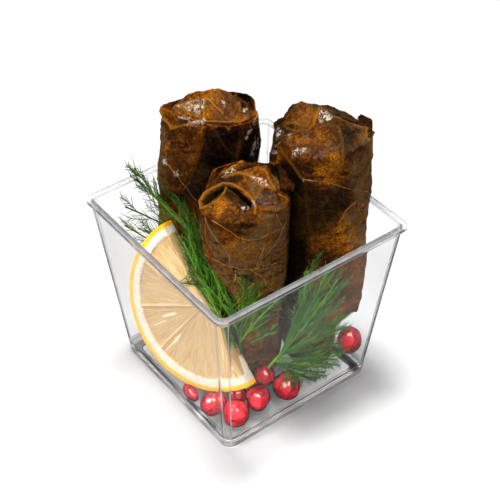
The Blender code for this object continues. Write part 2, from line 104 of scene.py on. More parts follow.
# tapering tubes along lines, each closed by a point at both ends: radii has a row for each line
def addTubes(name, lines, radii, sides):
    radii = np.array(radii)
    count = radii.shape[1]
    placed = []
    for line in lines:
        steps = np.linspace(0, len(line) - 1, count)
        whole = np.minimum(steps.astype(int), len(line) - 2)
        placed.append(line[whole] + (line[whole + 1] - line[whole]) * (steps - whole)[:, None])
    lines = np.array(placed)
    run = np.gradient(lines, axis=1)
    run /= np.maximum(np.linalg.norm(run, axis=-1, keepdims=True), 1e-12)
    one = np.cross(run, np.array([0.31, -0.42, 0.85]))  # any way that no thread follows
    one /= np.linalg.norm(one, axis=-1, keepdims=True)
    two = np.cross(run, one)
    angle = np.linspace(0, 2 * math.pi, sides, endpoint=False)
    rings = (lines[:, :, None] + radii[:, :, None, None] * (np.cos(angle)[:, None] * one[:, :, None]
             + np.sin(angle)[:, None] * two[:, :, None]))
    ends = np.stack((lines[:, 0], lines[:, -1] + run[:, -1] * radii[:, -1:] * 1.5), axis=1)
    points = np.concatenate((rings.reshape(len(lines), -1, 3), ends), axis=1)
    quads, tris = closedFaces(count, sides)
    offset = (np.arange(len(lines)) * points.shape[1])[:, None, None]
    return addPiece(name, points.reshape(-1, 3), quads[None] + offset, tris[None] + offset)


def smoothStep(value, low, high):
    t = np.clip((value - low) / (high - low), 0, 1)
    return t * t * (3 - 2 * t)


# smooth random heights in space with a spread of 1: a sum of cosines of about the given wavelength
def ripple(seed, points, size, stretch=1.0):
    draw = np.random.default_rng(seed)
    waves = 44
    heading = draw.standard_normal((waves, 3))
    heading /= np.linalg.norm(heading, axis=1, keepdims=True)
    heading *= 2 * math.pi / size * draw.uniform(0.6, 1.5, (waves, 1))
    heading[:, 2] /= stretch
    phase = draw.uniform(0, 2 * math.pi, waves)
    flat = points.reshape(-1, 3)
    total = np.zeros(len(flat))
    for k in range(waves):
        total += np.cos(flat @ heading[k] + phase[k])
    return (total / math.sqrt(waves / 2)).reshape(points.shape[:-1])


# where the view from the cup's front corner sees a point: millimetres right and up of the aim,
# in perspective, on the plane through the aim
def onView(points):
    local = points - viewAim
    far = view["far"] - local @ towards
    return np.stack((local @ sideways, local @ upright), axis=-1) * (view["far"] / far)[..., None] / mm


# the ways from the eye through places of the view, in millimetres right and up of the aim
def sightLines(places):
    return viewAim + places[:, :1] * mm * sideways + places[:, 1:] * mm * upright - viewEye


# distance from places to a line of straight pieces, in the units given
def lineDistance(places, line):
    line = np.array(line, dtype=float)
    nearest = np.full(places.shape[:-1], np.inf)
    for one, two in zip(line[:-1], line[1:]):
        run = two - one
        share = np.clip((places - one) @ run / (run @ run), 0, 1)
        gap = places - one - share[..., None] * run
        nearest = np.minimum(nearest, np.hypot(gap[..., 0], gap[..., 1]))
    return nearest


# distance in from the edge of a closed outline, negative outside
def insideDistance(places, outline):
    line = np.array(outline + outline[:1], dtype=float)
    x, y = places[..., 0], places[..., 1]
    inside = np.zeros(x.shape, dtype=bool)
    for (x1, y1), (x2, y2) in zip(line[:-1], line[1:]):
        if y1 != y2:
            inside ^= ((y1 > y) != (y2 > y)) & (x < x1 + (y - y1) / (y2 - y1) * (x2 - x1))
    return np.where(inside, 1, -1) * lineDistance(places, line)


# materials

def newMaterial(name, sockets):
    material = bpy.data.materials.new(name)
    material.use_nodes = True
    shader = material.node_tree.nodes["Principled BSDF"]
    for key, value in sockets.items():
        shader.inputs[key].default_value = value
    return material, material.node_tree, shader


def node(tree, kind, sockets=None, **settings):
    made = tree.nodes.new(kind)
    for key, value in settings.items():
        setattr(made, key, value)
    for key, value in (sockets or {}).items():
        made.inputs[key].default_value = value
    return made


# puts a node's output, a number or a colour into a socket
def link(tree, value, socket):
    if isinstance(value, (int, float)):
        socket.default_value = value
    elif isinstance(value, tuple):
        socket.default_value = (*value, 1)
    else:
        tree.links.new(value, socket)


def objectPlace(tree):
    return node(tree, "ShaderNodeTexCoord").outputs["Object"]


# a pattern's place moved, turned or stretched
def mapped(tree, place, **sockets):
    made = node(tree, "ShaderNodeMapping", sockets)
    link(tree, place, made.inputs["Vector"])
    return made.outputs[0]


def noiseAt(tree, place, scale, detail=4.0, rough=0.55, warp=0.0):
    made = node(tree, "ShaderNodeTexNoise",
                {"Scale": scale, "Detail": detail, "Roughness": rough, "Distortion": warp})
    link(tree, place, made.inputs["Vector"])
    return made.outputs["Fac"]


def cellsAt(tree, place, feature, scale, randomness=1.0):
    made = node(tree, "ShaderNodeTexVoronoi", {"Scale": scale, "Randomness": randomness}, feature=feature)
    link(tree, place, made.inputs["Vector"])
    return made.outputs


def ramp(tree, value, stops):
    made = node(tree, "ShaderNodeValToRGB")
    marks = made.color_ramp.elements
    while len(marks) < len(stops):
        marks.new(0.5)
    for mark, (place, colour) in zip(marks, stops):
        mark.position = place
        mark.color = (*colour, 1)
    link(tree, value, made.inputs["Fac"])
    return made.outputs["Color"]


def grey(value):
    return (value, value, value)


# a grey that runs from low at start to high at stop
def fade(tree, value, start, stop, low=0.0, high=1.0):
    return ramp(tree, value, ((start, grey(low)), (stop, grey(high))))


def blendColour(tree, share, one, two, way="MIX"):
    made = node(tree, "ShaderNodeMix", data_type="RGBA", blend_type=way)
    for value, number in ((share, 0), (one, 6), (two, 7)):
        link(tree, value, made.inputs[number])
    return made.outputs[2]


def blendShader(tree, share, one, two):
    made = node(tree, "ShaderNodeMixShader")
    for value, socket in zip((share, one, two), made.inputs):
        link(tree, value, socket)
    return made.outputs[0]


def maths(tree, way, *values):
    made = node(tree, "ShaderNodeMath", operation=way)
    for value, socket in zip(values, made.inputs):
        link(tree, value, socket)
    return made.outputs[0]


def times(tree, one, two):
    return maths(tree, "MULTIPLY", one, two)


def attribute(tree, name, out="Fac"):
    return node(tree, "ShaderNodeAttribute", attribute_name=name).outputs[out]


def bump(tree, height, strength, distance, after=None):
    made = node(tree, "ShaderNodeBump", {"Strength": strength, "Distance": distance})
    link(tree, height, made.inputs["Height"])
    if after is not None:
        link(tree, after, made.inputs["Normal"])
    return made.outputs["Normal"]


# the cup: the milk and line shares are shares of milky plastic at heights in millimetres, or at angles round
# the lip; they paint a pale veil on the walls and pale and dark lines at the base and lip, in place of light
# that clear plastic reflects and refracts
cup = {
    "rim": 66 * mm, "base": 53 * mm, "height": 60 * mm, "wall": 1.2 * mm, "lip": 1.4 * mm,
    "lipReach": 0.7 * mm, "lipRound": 0.35 * mm, "rimCorner": 2.6 * mm, "corner": 3.2 * mm,
    "floor": 3.2 * mm, "recess": 1.0 * mm, "foot": 3.0 * mm, "cornerSteps": 24,
    "baseMilkAndLines": ((0.8, 0.5), (1.1, 0.3), (1.4, 0.5), (2.5, 0.45), (2.8, 0.3), (3.2, 0.6), (3.6, 0.6)),
    "wallMilkAndSheen": ((4.0, 0.0), (16, 0.035), (24, 0.06), (36, 0.075), (50, 0.07)),
    "underLipMilkAndLines": ((0.9, 0.06), (0.4, 0.12)),
    "lipOuterMilkAndLines": ((0, 0.3), (30, 0.3), (60, 0.6), (90, 0.46)),
    "lipInnerMilkAndLines": ((90, 0.4), (60, 0.6), (30, 0.46), (0, 0.3)),
}
wallSlope = (cup["rim"] - 2 * cup["lipReach"] - cup["base"]) / 2 / cup["height"]


def innerHalf(z):
    return cup["base"] / 2 - cup["wall"] + wallSlope * z


# one square ring with rounded corners
def roundedSquare(side, corner, z):
    angle = np.linspace(0, math.pi / 2, cup["cornerSteps"])
    reach = side / 2 - corner
    parts = []
    for quarter, (sx, sy) in enumerate(((1, 1), (-1, 1), (-1, -1), (1, -1))):
        turn = angle + quarter * math.pi / 2
        parts.append(np.column_stack((sx * reach + corner * np.cos(turn),
                                      sy * reach + corner * np.sin(turn), np.full(len(turn), z))))
    return np.vstack(parts)


# rows from the recess under the floor, up the outside, over the rounded lip, down to the floor:
# each a side, a corner's radius, a height and a share of milky plastic, which paints lines and a veil in place
# of refracted and reflected light
def cupRows():
    c = cup
    underLip = c["height"] - c["lip"]
    wallSide = c["base"] + 2 * wallSlope * underLip
    innerTop = c["rim"] - 2 * c["lipReach"] - 2 * c["wall"]
    innerLow = 2 * innerHalf(c["floor"])
    inCorner = c["corner"] - c["wall"]
    recessSide = c["base"] - 2 * c["foot"]
    rows = [(recessSide - 0.8 * mm, inCorner, c["recess"], 0.0),
            (recessSide - 0.5 * mm, inCorner, 0.9 * mm, 0.1),
            (recessSide - 0.1 * mm, inCorner, 0.1 * mm, 0.1),
            (recessSide + 0.1 * mm, inCorner, 0.0, 0.0),
            (c["base"] - 1.0 * mm, c["corner"], 0.0, 0.1),
            (c["base"] - 0.5 * mm, c["corner"], 0.1 * mm, 0.5),
            (c["base"], c["corner"], 0.5 * mm, 0.5)]
    heights = [(z * mm, milkAndLight) for z, milkAndLight in c["baseMilkAndLines"] + c["wallMilkAndSheen"]]
    heights += [(underLip - drop * mm, milkAndLight) for drop, milkAndLight in c["underLipMilkAndLines"]]
    rows += [(c["base"] + 2 * wallSlope * z, c["corner"], z, milkAndLight) for z, milkAndLight in heights]
    rows.append((wallSide + 0.1 * mm, c["corner"], underLip - 0.08 * mm, 0.3))
    rows.append((wallSide + 0.4 * mm, c["rimCorner"] + 0.3 * mm, underLip, 0.36))
    lower = [(turn, 0.5) for turn in (-90, -60, -30, 0)]
    for turns, side, corner, out, z in (
            (lower, c["rim"], c["rimCorner"], -1, underLip + c["lipRound"]),
            (c["lipOuterMilkAndLines"], c["rim"], c["rimCorner"], -1, c["height"] - c["lipRound"]),
            (c["lipInnerMilkAndLines"], innerTop, inCorner, 1, c["height"] - c["lipRound"])):
        for turn, milkAndLight in turns:
            turn = math.radians(turn)
            rows.append((side + out * 2 * c["lipRound"] * (1 - math.cos(turn)), corner,
                         z + c["lipRound"] * math.sin(turn), milkAndLight))
    for z in (59.2 * mm, 58.6 * mm, 40 * mm, 20 * mm, c["floor"] + 1.2 * mm):
        rows.append((2 * innerHalf(z), inCorner, z, 0.0))
    return rows + [(innerLow + 0.1 * mm, inCorner, c["floor"] + 0.5 * mm, 0.3),
                   (innerLow - 0.3 * mm, inCorner, c["floor"] + 0.12 * mm, 0.35),
                   (innerLow - 1.0 * mm, inCorner, c["floor"], 0.03)]


def makeCup():
    c = cup
    rows = cupRows()
    grid = np.array([roundedSquare(*row[:3]) for row in rows])
    piece = closedPiece("clear_cup", grid, (0, 0, c["recess"]), (0, 0, c["floor"]), sharpAngle=38)
    x, y, z = np.moveaxis(grid, -1, 0)
    off = np.abs(np.abs(x) - np.abs(y)) / mm  # distance from the nearest corner's line
    onOutside = np.array([row[1] == c["corner"] for row in rows])[:, None]
    walls = onOutside & np.array([row[2] > 1.5 * mm for row in rows])[:, None]
    # painted light: pale lines beside and along the wall corners, in place of light that the clear walls
    # refract; they join the rows' shares
    lines = 0.7 * walls * np.exp(-((off - 1.3 - 1.1 * z / c["height"]) / 0.36) ** 2)
    lines = np.maximum(lines, 0.6 * walls * (x * y > 0) * np.exp(-(off / 0.5) ** 2))
    milk = np.maximum(np.array([row[3] for row in rows])[:, None], lines)
    # painted shade: the floor plate is tinted dark, less towards the left and right corners, in place of the
    # shade under the food
    floor = (np.abs(z - c["floor"]) < 0.06 * mm) * (1 - 0.8 * smoothStep(np.abs(x + y), 18 * mm, 42 * mm))
    addValues(piece, ends=(0, 1), floor=floor)
    addValues(piece, milk=milk, low=np.where(onOutside, np.exp(-z / (7 * mm)), 0))
    piece.data.materials.append(cupMaterial())
    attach(piece, "root")
    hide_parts("cup")


# clear plastic, with milky lines and a veil painted in place of light it refracts and reflects, a floor plate
# tinted dark as painted shade, a base band that glows with painted light, and red streaks there painted in
# place of the seeds' reflection: shadow rays pass, dimmed near the base and where they graze a wall, and rays
# that are mirrored more than once inside are let out
def cupMaterial():
    material, tree, shader = newMaterial("clear_plastic", {
        "Transmission Weight": 1.0, "Roughness": 0.02, "IOR": 1.22})
    low, milk, place = attribute(tree, "low"), attribute(tree, "milk"), objectPlace(tree)
    # the walls' own light tint, and on the floor plate a dark tint as painted shade
    tintAndFloorShade = ramp(tree, attribute(tree, "floor"), ((0, (0.94, 0.942, 0.945)), (1, (0.36, 0.35, 0.34))))
    link(tree, tintAndFloorShade, shader.inputs["Base Color"])
    slant = node(tree, "ShaderNodeLayerWeight", {"Blend": 0.5}).outputs["Facing"]
    grazing = ramp(tree, slant, ((0.45, grey(1)), (0.72, grey(0.62)), (0.83, grey(0.62)), (0.92, grey(1))))
    shadow = blendColour(tree, 1.0, fade(tree, low, 0.1, 0.7, 0.78, 0.4), grazing, "MULTIPLY")
    clear = node(tree, "ShaderNodeBsdfTransparent")
    link(tree, shadow, clear.inputs["Color"])
    rays = node(tree, "ShaderNodeLightPath").outputs
    caught = maths(tree, "GREATER_THAN", rays["Glossy Depth"], 1)
    passes = maths(tree, "MAXIMUM", rays["Is Shadow Ray"], caught)
    milkyLinesAndGlow = node(tree, "ShaderNodeBsdfPrincipled", {"Roughness": 0.25, "Emission Strength": 0.3})
    # grey for the veil, dark grey for the dark lines and pale grey for the pale lines: painted light and shade
    milkAndLineTone = ramp(tree, milk, ((0.1, grey(0.5)), (0.3, grey(0.2)), (0.36, grey(0.2)),
                                  (0.46, (0.6, 0.6, 0.615))))
    # painted reflection: red streaks in the base band, in place of the seeds seen in it
    red = times(tree, fade(tree, noiseAt(tree, place, 120, 3), 0.45, 0.6, 0, 0.7), fade(tree, low, 0.62, 0.75))
    link(tree, blendColour(tree, red, milkAndLineTone, (0.5, 0.25, 0.24)), milkyLinesAndGlow.inputs["Base Color"])
    # painted light: the base band below about 3 mm glows a little, as if lit from inside
    glow = ramp(tree, low, ((0.62, grey(0)), (0.7, (0.9, 0.85, 0.85))))
    link(tree, glow, milkyLinesAndGlow.inputs["Emission Color"])
    streak = fade(tree, noiseAt(tree, place, 180, 3), 0.3, 0.7, 0.75, 1)
    edged = blendShader(tree, times(tree, milk, streak), shader.outputs[0], milkyLinesAndGlow.outputs[0])
    surface = blendShader(tree, passes, edged, clear.outputs[0])
    link(tree, surface, tree.nodes["Material Output"].inputs["Surface"])
    return material


# the lemon slice

lemon = {
    "middle": np.array([0.5, -15.2, 32.6]) * mm, "turn": math.radians(15.4),
    "lean": math.radians(16.7), "spin": math.radians(227), "half": 26.6 * mm, "depth": 28.5 * mm,
    "thick": 4.5 * mm, "rind": 4.1 * mm, "segments": 5,
    "arcSteps": 300, "cutSteps": 140, "faceRows": 70, "rimRows": 12,
}


# unit vectors of the slice: out of its face, along its cut edge, and away from that edge
def sliceAxes():
    turn, lean, spin = lemon["turn"], lemon["lean"], lemon["spin"]
    face = np.array([math.sin(turn) * math.cos(lean), -math.cos(turn) * math.cos(lean), math.sin(lean)])
    level = np.array([math.cos(turn), math.sin(turn), 0.0])
    steep = np.cross(face, level)
    along = -math.sin(spin) * level + math.cos(spin) * steep
    away = math.cos(spin) * level + math.sin(spin) * steep
    return face, along, away


# places in the slice from their way along its cut edge, away from it and back from its face
def inSlice(p, q, depth):
    face, along, away = sliceAxes()
    p, q, depth = (np.asarray(value)[..., None] for value in (p, q, depth))
    return lemon["middle"] + p * along + q * away - depth * face


# the rolls, in millimetres: middles of the foot and the end, radii low, half way up and high, the
# wrapped flap's edge (turn, lean), the folded end's planes (turn, slope, height), the height of its
# collar, the depth of the groove inside that and the turns between which it runs

soften = 1.2 * mm
rollFoot = 3.6 * mm
flatness = 0.78
footRound = 5.0 * mm
rolls = {
    "dolma_left": {
        "foot": (-14.4, -8.4), "end": (-20.0, 3.4), "height": 80.0, "radii": (12.4, 14.2, 13.0),
        "edge": (250, 60), "phase": 0.4, "seed": 3,
        "planes": ((270, 0.8, 5.6), (215, 0.5, 6.3), (180, 0.45, 7.1), (90, 1.0, 10.9),
                   (0, 0.62, 9.1), (315, 0.62, 8.4), (45, 0.8, 10.8)),
        "collar": 2.7, "groove": 3.6, "grooveSide": (0, 360), "shoulder": 0.0,
    },
    "dolma_right": {
        "foot": (13.2, 14.4), "end": (7.8, 20.2), "height": 79.0, "radii": (7.0, 14.1, 13.3),
        "edge": (300, -50), "phase": 2.1, "seed": 4,
        "planes": ((270, 0.5, 8.4), (225, 0.6, 11.2), (180, 0.9, 15.6), (90, 0.9, 15.6),
                   (0, 0.12, 8.2), (315, 0.3, 8.0)),
        "collar": 3.6, "groove": 1.8, "grooveSide": (20, 175), "shoulder": 0.4,
    },
    "dolma_front": {
        "foot": (4.6, -2.8), "end": (5.2, -3.9), "height": 73.0, "radii": (9.6, 12.1, 12.1),
        "edge": (235, 70), "phase": 4.0, "seed": 5,
        "planes": ((270, 0.6, 2.6), (230, 0.6, 2.8), (180, 0.42, 4.0), (115, 0.35, 5.2),
                   (0, 0.1, 5.2), (315, 0.5, 4.4), (200, 0.0, 4.4)),
        "collar": 1.6, "groove": 2.0, "grooveSide": (75, 158), "shoulder": 1.6,
    },
}
# seeds, in millimetres: middle, half sizes, turn and number
seeds = (
    ((22.2, 22.4, 13.0), (3.5, 3.6, 4.4), 20, 1),
    ((21.4, -1.2, 7.6), (4.0, 4.3, 4.0), 75, 2),
    ((15.9, -5.2, 10.0), (3.0, 3.0, 3.3), 10, 3),
    ((19.9, -10.9, 7.5), (3.6, 3.9, 3.9), 50, 4),
    ((21.2, -19.9, 8.1), (3.8, 3.9, 4.2), 130, 5),
    ((14.1, -22.3, 7.4), (3.4, 3.2, 3.8), 100, 6),
    ((5.7, -24.0, 6.0), (3.2, 1.6, 2.4), 0, 7),
    ((14.8, -14.0, 6.3), (2.4, 2.4, 2.6), 30, 8),
)


# value kept below limit, easing towards it over the last part
def eased(value, limit):
    over = np.maximum(value - limit + soften, 0)
    return np.where(over > 0, limit - soften * np.exp(-over / soften), value)


# middle and radius of a roll at the heights z: a straight axis, a parabola for the radius
def rollAxis(roll, z):
    t = np.clip((z - rollFoot) / (roll["height"] * mm - rollFoot), 0, 1)
    middle = np.array(roll["foot"]) * mm * (1 - t[..., None]) + np.array(roll["end"]) * mm * t[..., None]
    low, half, high = np.array(roll["radii"]) * mm
    return middle, low * (1 - t) * (1 - 2 * t) + half * 4 * t * (1 - t) + high * t * (2 * t - 1)


# pushes a roll's points back behind the lemon slice and the dill on its back
def pressedBySlice(points):
    face, along, away = sliceAxes()
    local = points - lemon["middle"]
    forward, p, q = local @ face, local @ along, local @ away
    outside = np.hypot(p / (lemon["half"] + 3 * mm), q / (lemon["depth"] + 3 * mm))
    over = (1 - smoothStep(outside, 1.0, 1.3)) * smoothStep(q, -15 * mm, -4 * mm)
    pushed = forward - eased(forward, -lemon["thick"] - 1.9 * mm)
    return points - (over * pushed)[..., None] * face


# for each other roll: itself, the way to it across and deep, its distance, how far a roll's points
# reach that way, and how far the two touch
def otherRolls(name, points):
    z = points[..., 2]
    middle, radius = rollAxis(rolls[name], z)
    for other, roll in rolls.items():
        if other != name:
            theirMiddle, theirRadius = rollAxis(roll, z)
            between, local = theirMiddle - middle, points[..., :2] - middle
            toAcross, toDeep = between @ across, between @ deep / flatness
            distance = np.hypot(toAcross, toDeep)
            reach = (local @ across * toAcross + local @ deep / flatness * toDeep) / distance
            yield roll, toAcross, toDeep, distance, reach, distance * radius / (radius + theirRadius)


# flattens a roll where it meets the other rolls and the walls
def pressedByNeighbours(name, points):
    points = points.copy()
    z = points[..., 2]
    for _, toAcross, toDeep, distance, reach, touch in otherRolls(name, points):
        over = (reach - eased(reach, touch - 0.28 * mm)) / distance
        points[..., :2] -= (over * toAcross)[..., None] * across
        points[..., :2] -= (over * toDeep * flatness)[..., None] * deep
    free = innerHalf(z) - 0.4 * mm + smoothStep(z, 61 * mm, 68 * mm) * 2 * mm
    for axis, spare in ((0, 1.6 * mm), (1, 0.0)):
        points[..., axis] = eased(points[..., axis], free - spare)
        points[..., axis] = -eased(-points[..., axis], free)
    return points


# how close a roll's places are to where it would touch the others: 1 in the crevice, 0 far off; the roll uses
# it to paint shade into the crevices
def nearNeighbours(name, points):
    z = points[..., 2]
    near = np.zeros(z.shape)
    for roll, _, _, _, reach, touch in otherRolls(name, points):
        under = z < roll["height"] * mm
        near = np.maximum(near, smoothStep(reach - touch, -4.5 * mm, -0.8 * mm) * under)
    return near


# dents a roll where a seed is pressed into it
def pressedBySeeds(name, points):
    for middle, halves, _, _ in seeds:
        middle = np.array(middle) * mm
        axis, _ = rollAxis(rolls[name], middle[2:])
        inward = np.append(axis[0] - middle[:2], 0.0)
        inward /= np.linalg.norm(inward)
        local = points - middle
        reach = local @ inward
        aside = np.linalg.norm(local - reach[..., None] * inward, axis=-1)
        size = max(halves) * mm
        near = (1 - smoothStep(aside, size, 3 * size)) * (reach > -3 * size)
        points = points - (near * (reach + eased(-reach, -size - 0.8 * mm)))[..., None] * inward
    return points


# low lumps round a roll: four sines of the angle that drift along it
def wave(angle, t, phase):
    total = 0.42 * np.sin(2 * angle + phase + 2.2 * t) + 0.3 * np.sin(3 * angle - 2 * phase + 5 * t)
    total += 0.2 * np.sin(7 * angle + 3 * phase - 9 * t) + 0.16 * np.sin(5 * angle + 23 * t + phase)
    return total * mm


# height of the folded end over the roll's end: the lowest of its planes
def endHeight(roll, x, y):
    lowest = np.full(np.shape(x), np.inf)
    for turn, slope, height in roll["planes"]:
        fall = x * math.cos(math.radians(turn)) + y * math.sin(math.radians(turn))
        lowest = np.minimum(lowest, height * mm - slope * fall)
    return lowest


# height of the end at a share of the radius: collar, groove inside it, then the folds
def endLift(roll, share, angle, x, y):
    opens, closes = np.radians(roll["grooveSide"])
    off = np.abs(np.mod(angle - (opens + closes) / 2 + math.pi, 2 * math.pi) - math.pi)
    half = (closes - opens) / 2
    gap = 1 - smoothStep(off, half - 0.5, half + 0.01)
    folded = endHeight(roll, x, y)
    collar = roll["collar"] * mm * (1 + 0.4 * np.sin(2 * angle + roll["phase"]))
    rounded = roll["shoulder"] * mm * (1 - np.sqrt(1 - smoothStep(share, 0.55, 1.03) ** 2))
    sunk = np.minimum(folded, collar) - roll["groove"] * mm
    inside = folded + (sunk - folded) * smoothStep(share, 0.8, 0.88)
    return gap * np.where(share > 0.938, collar, inside) + (1 - gap) * (folded - rounded)
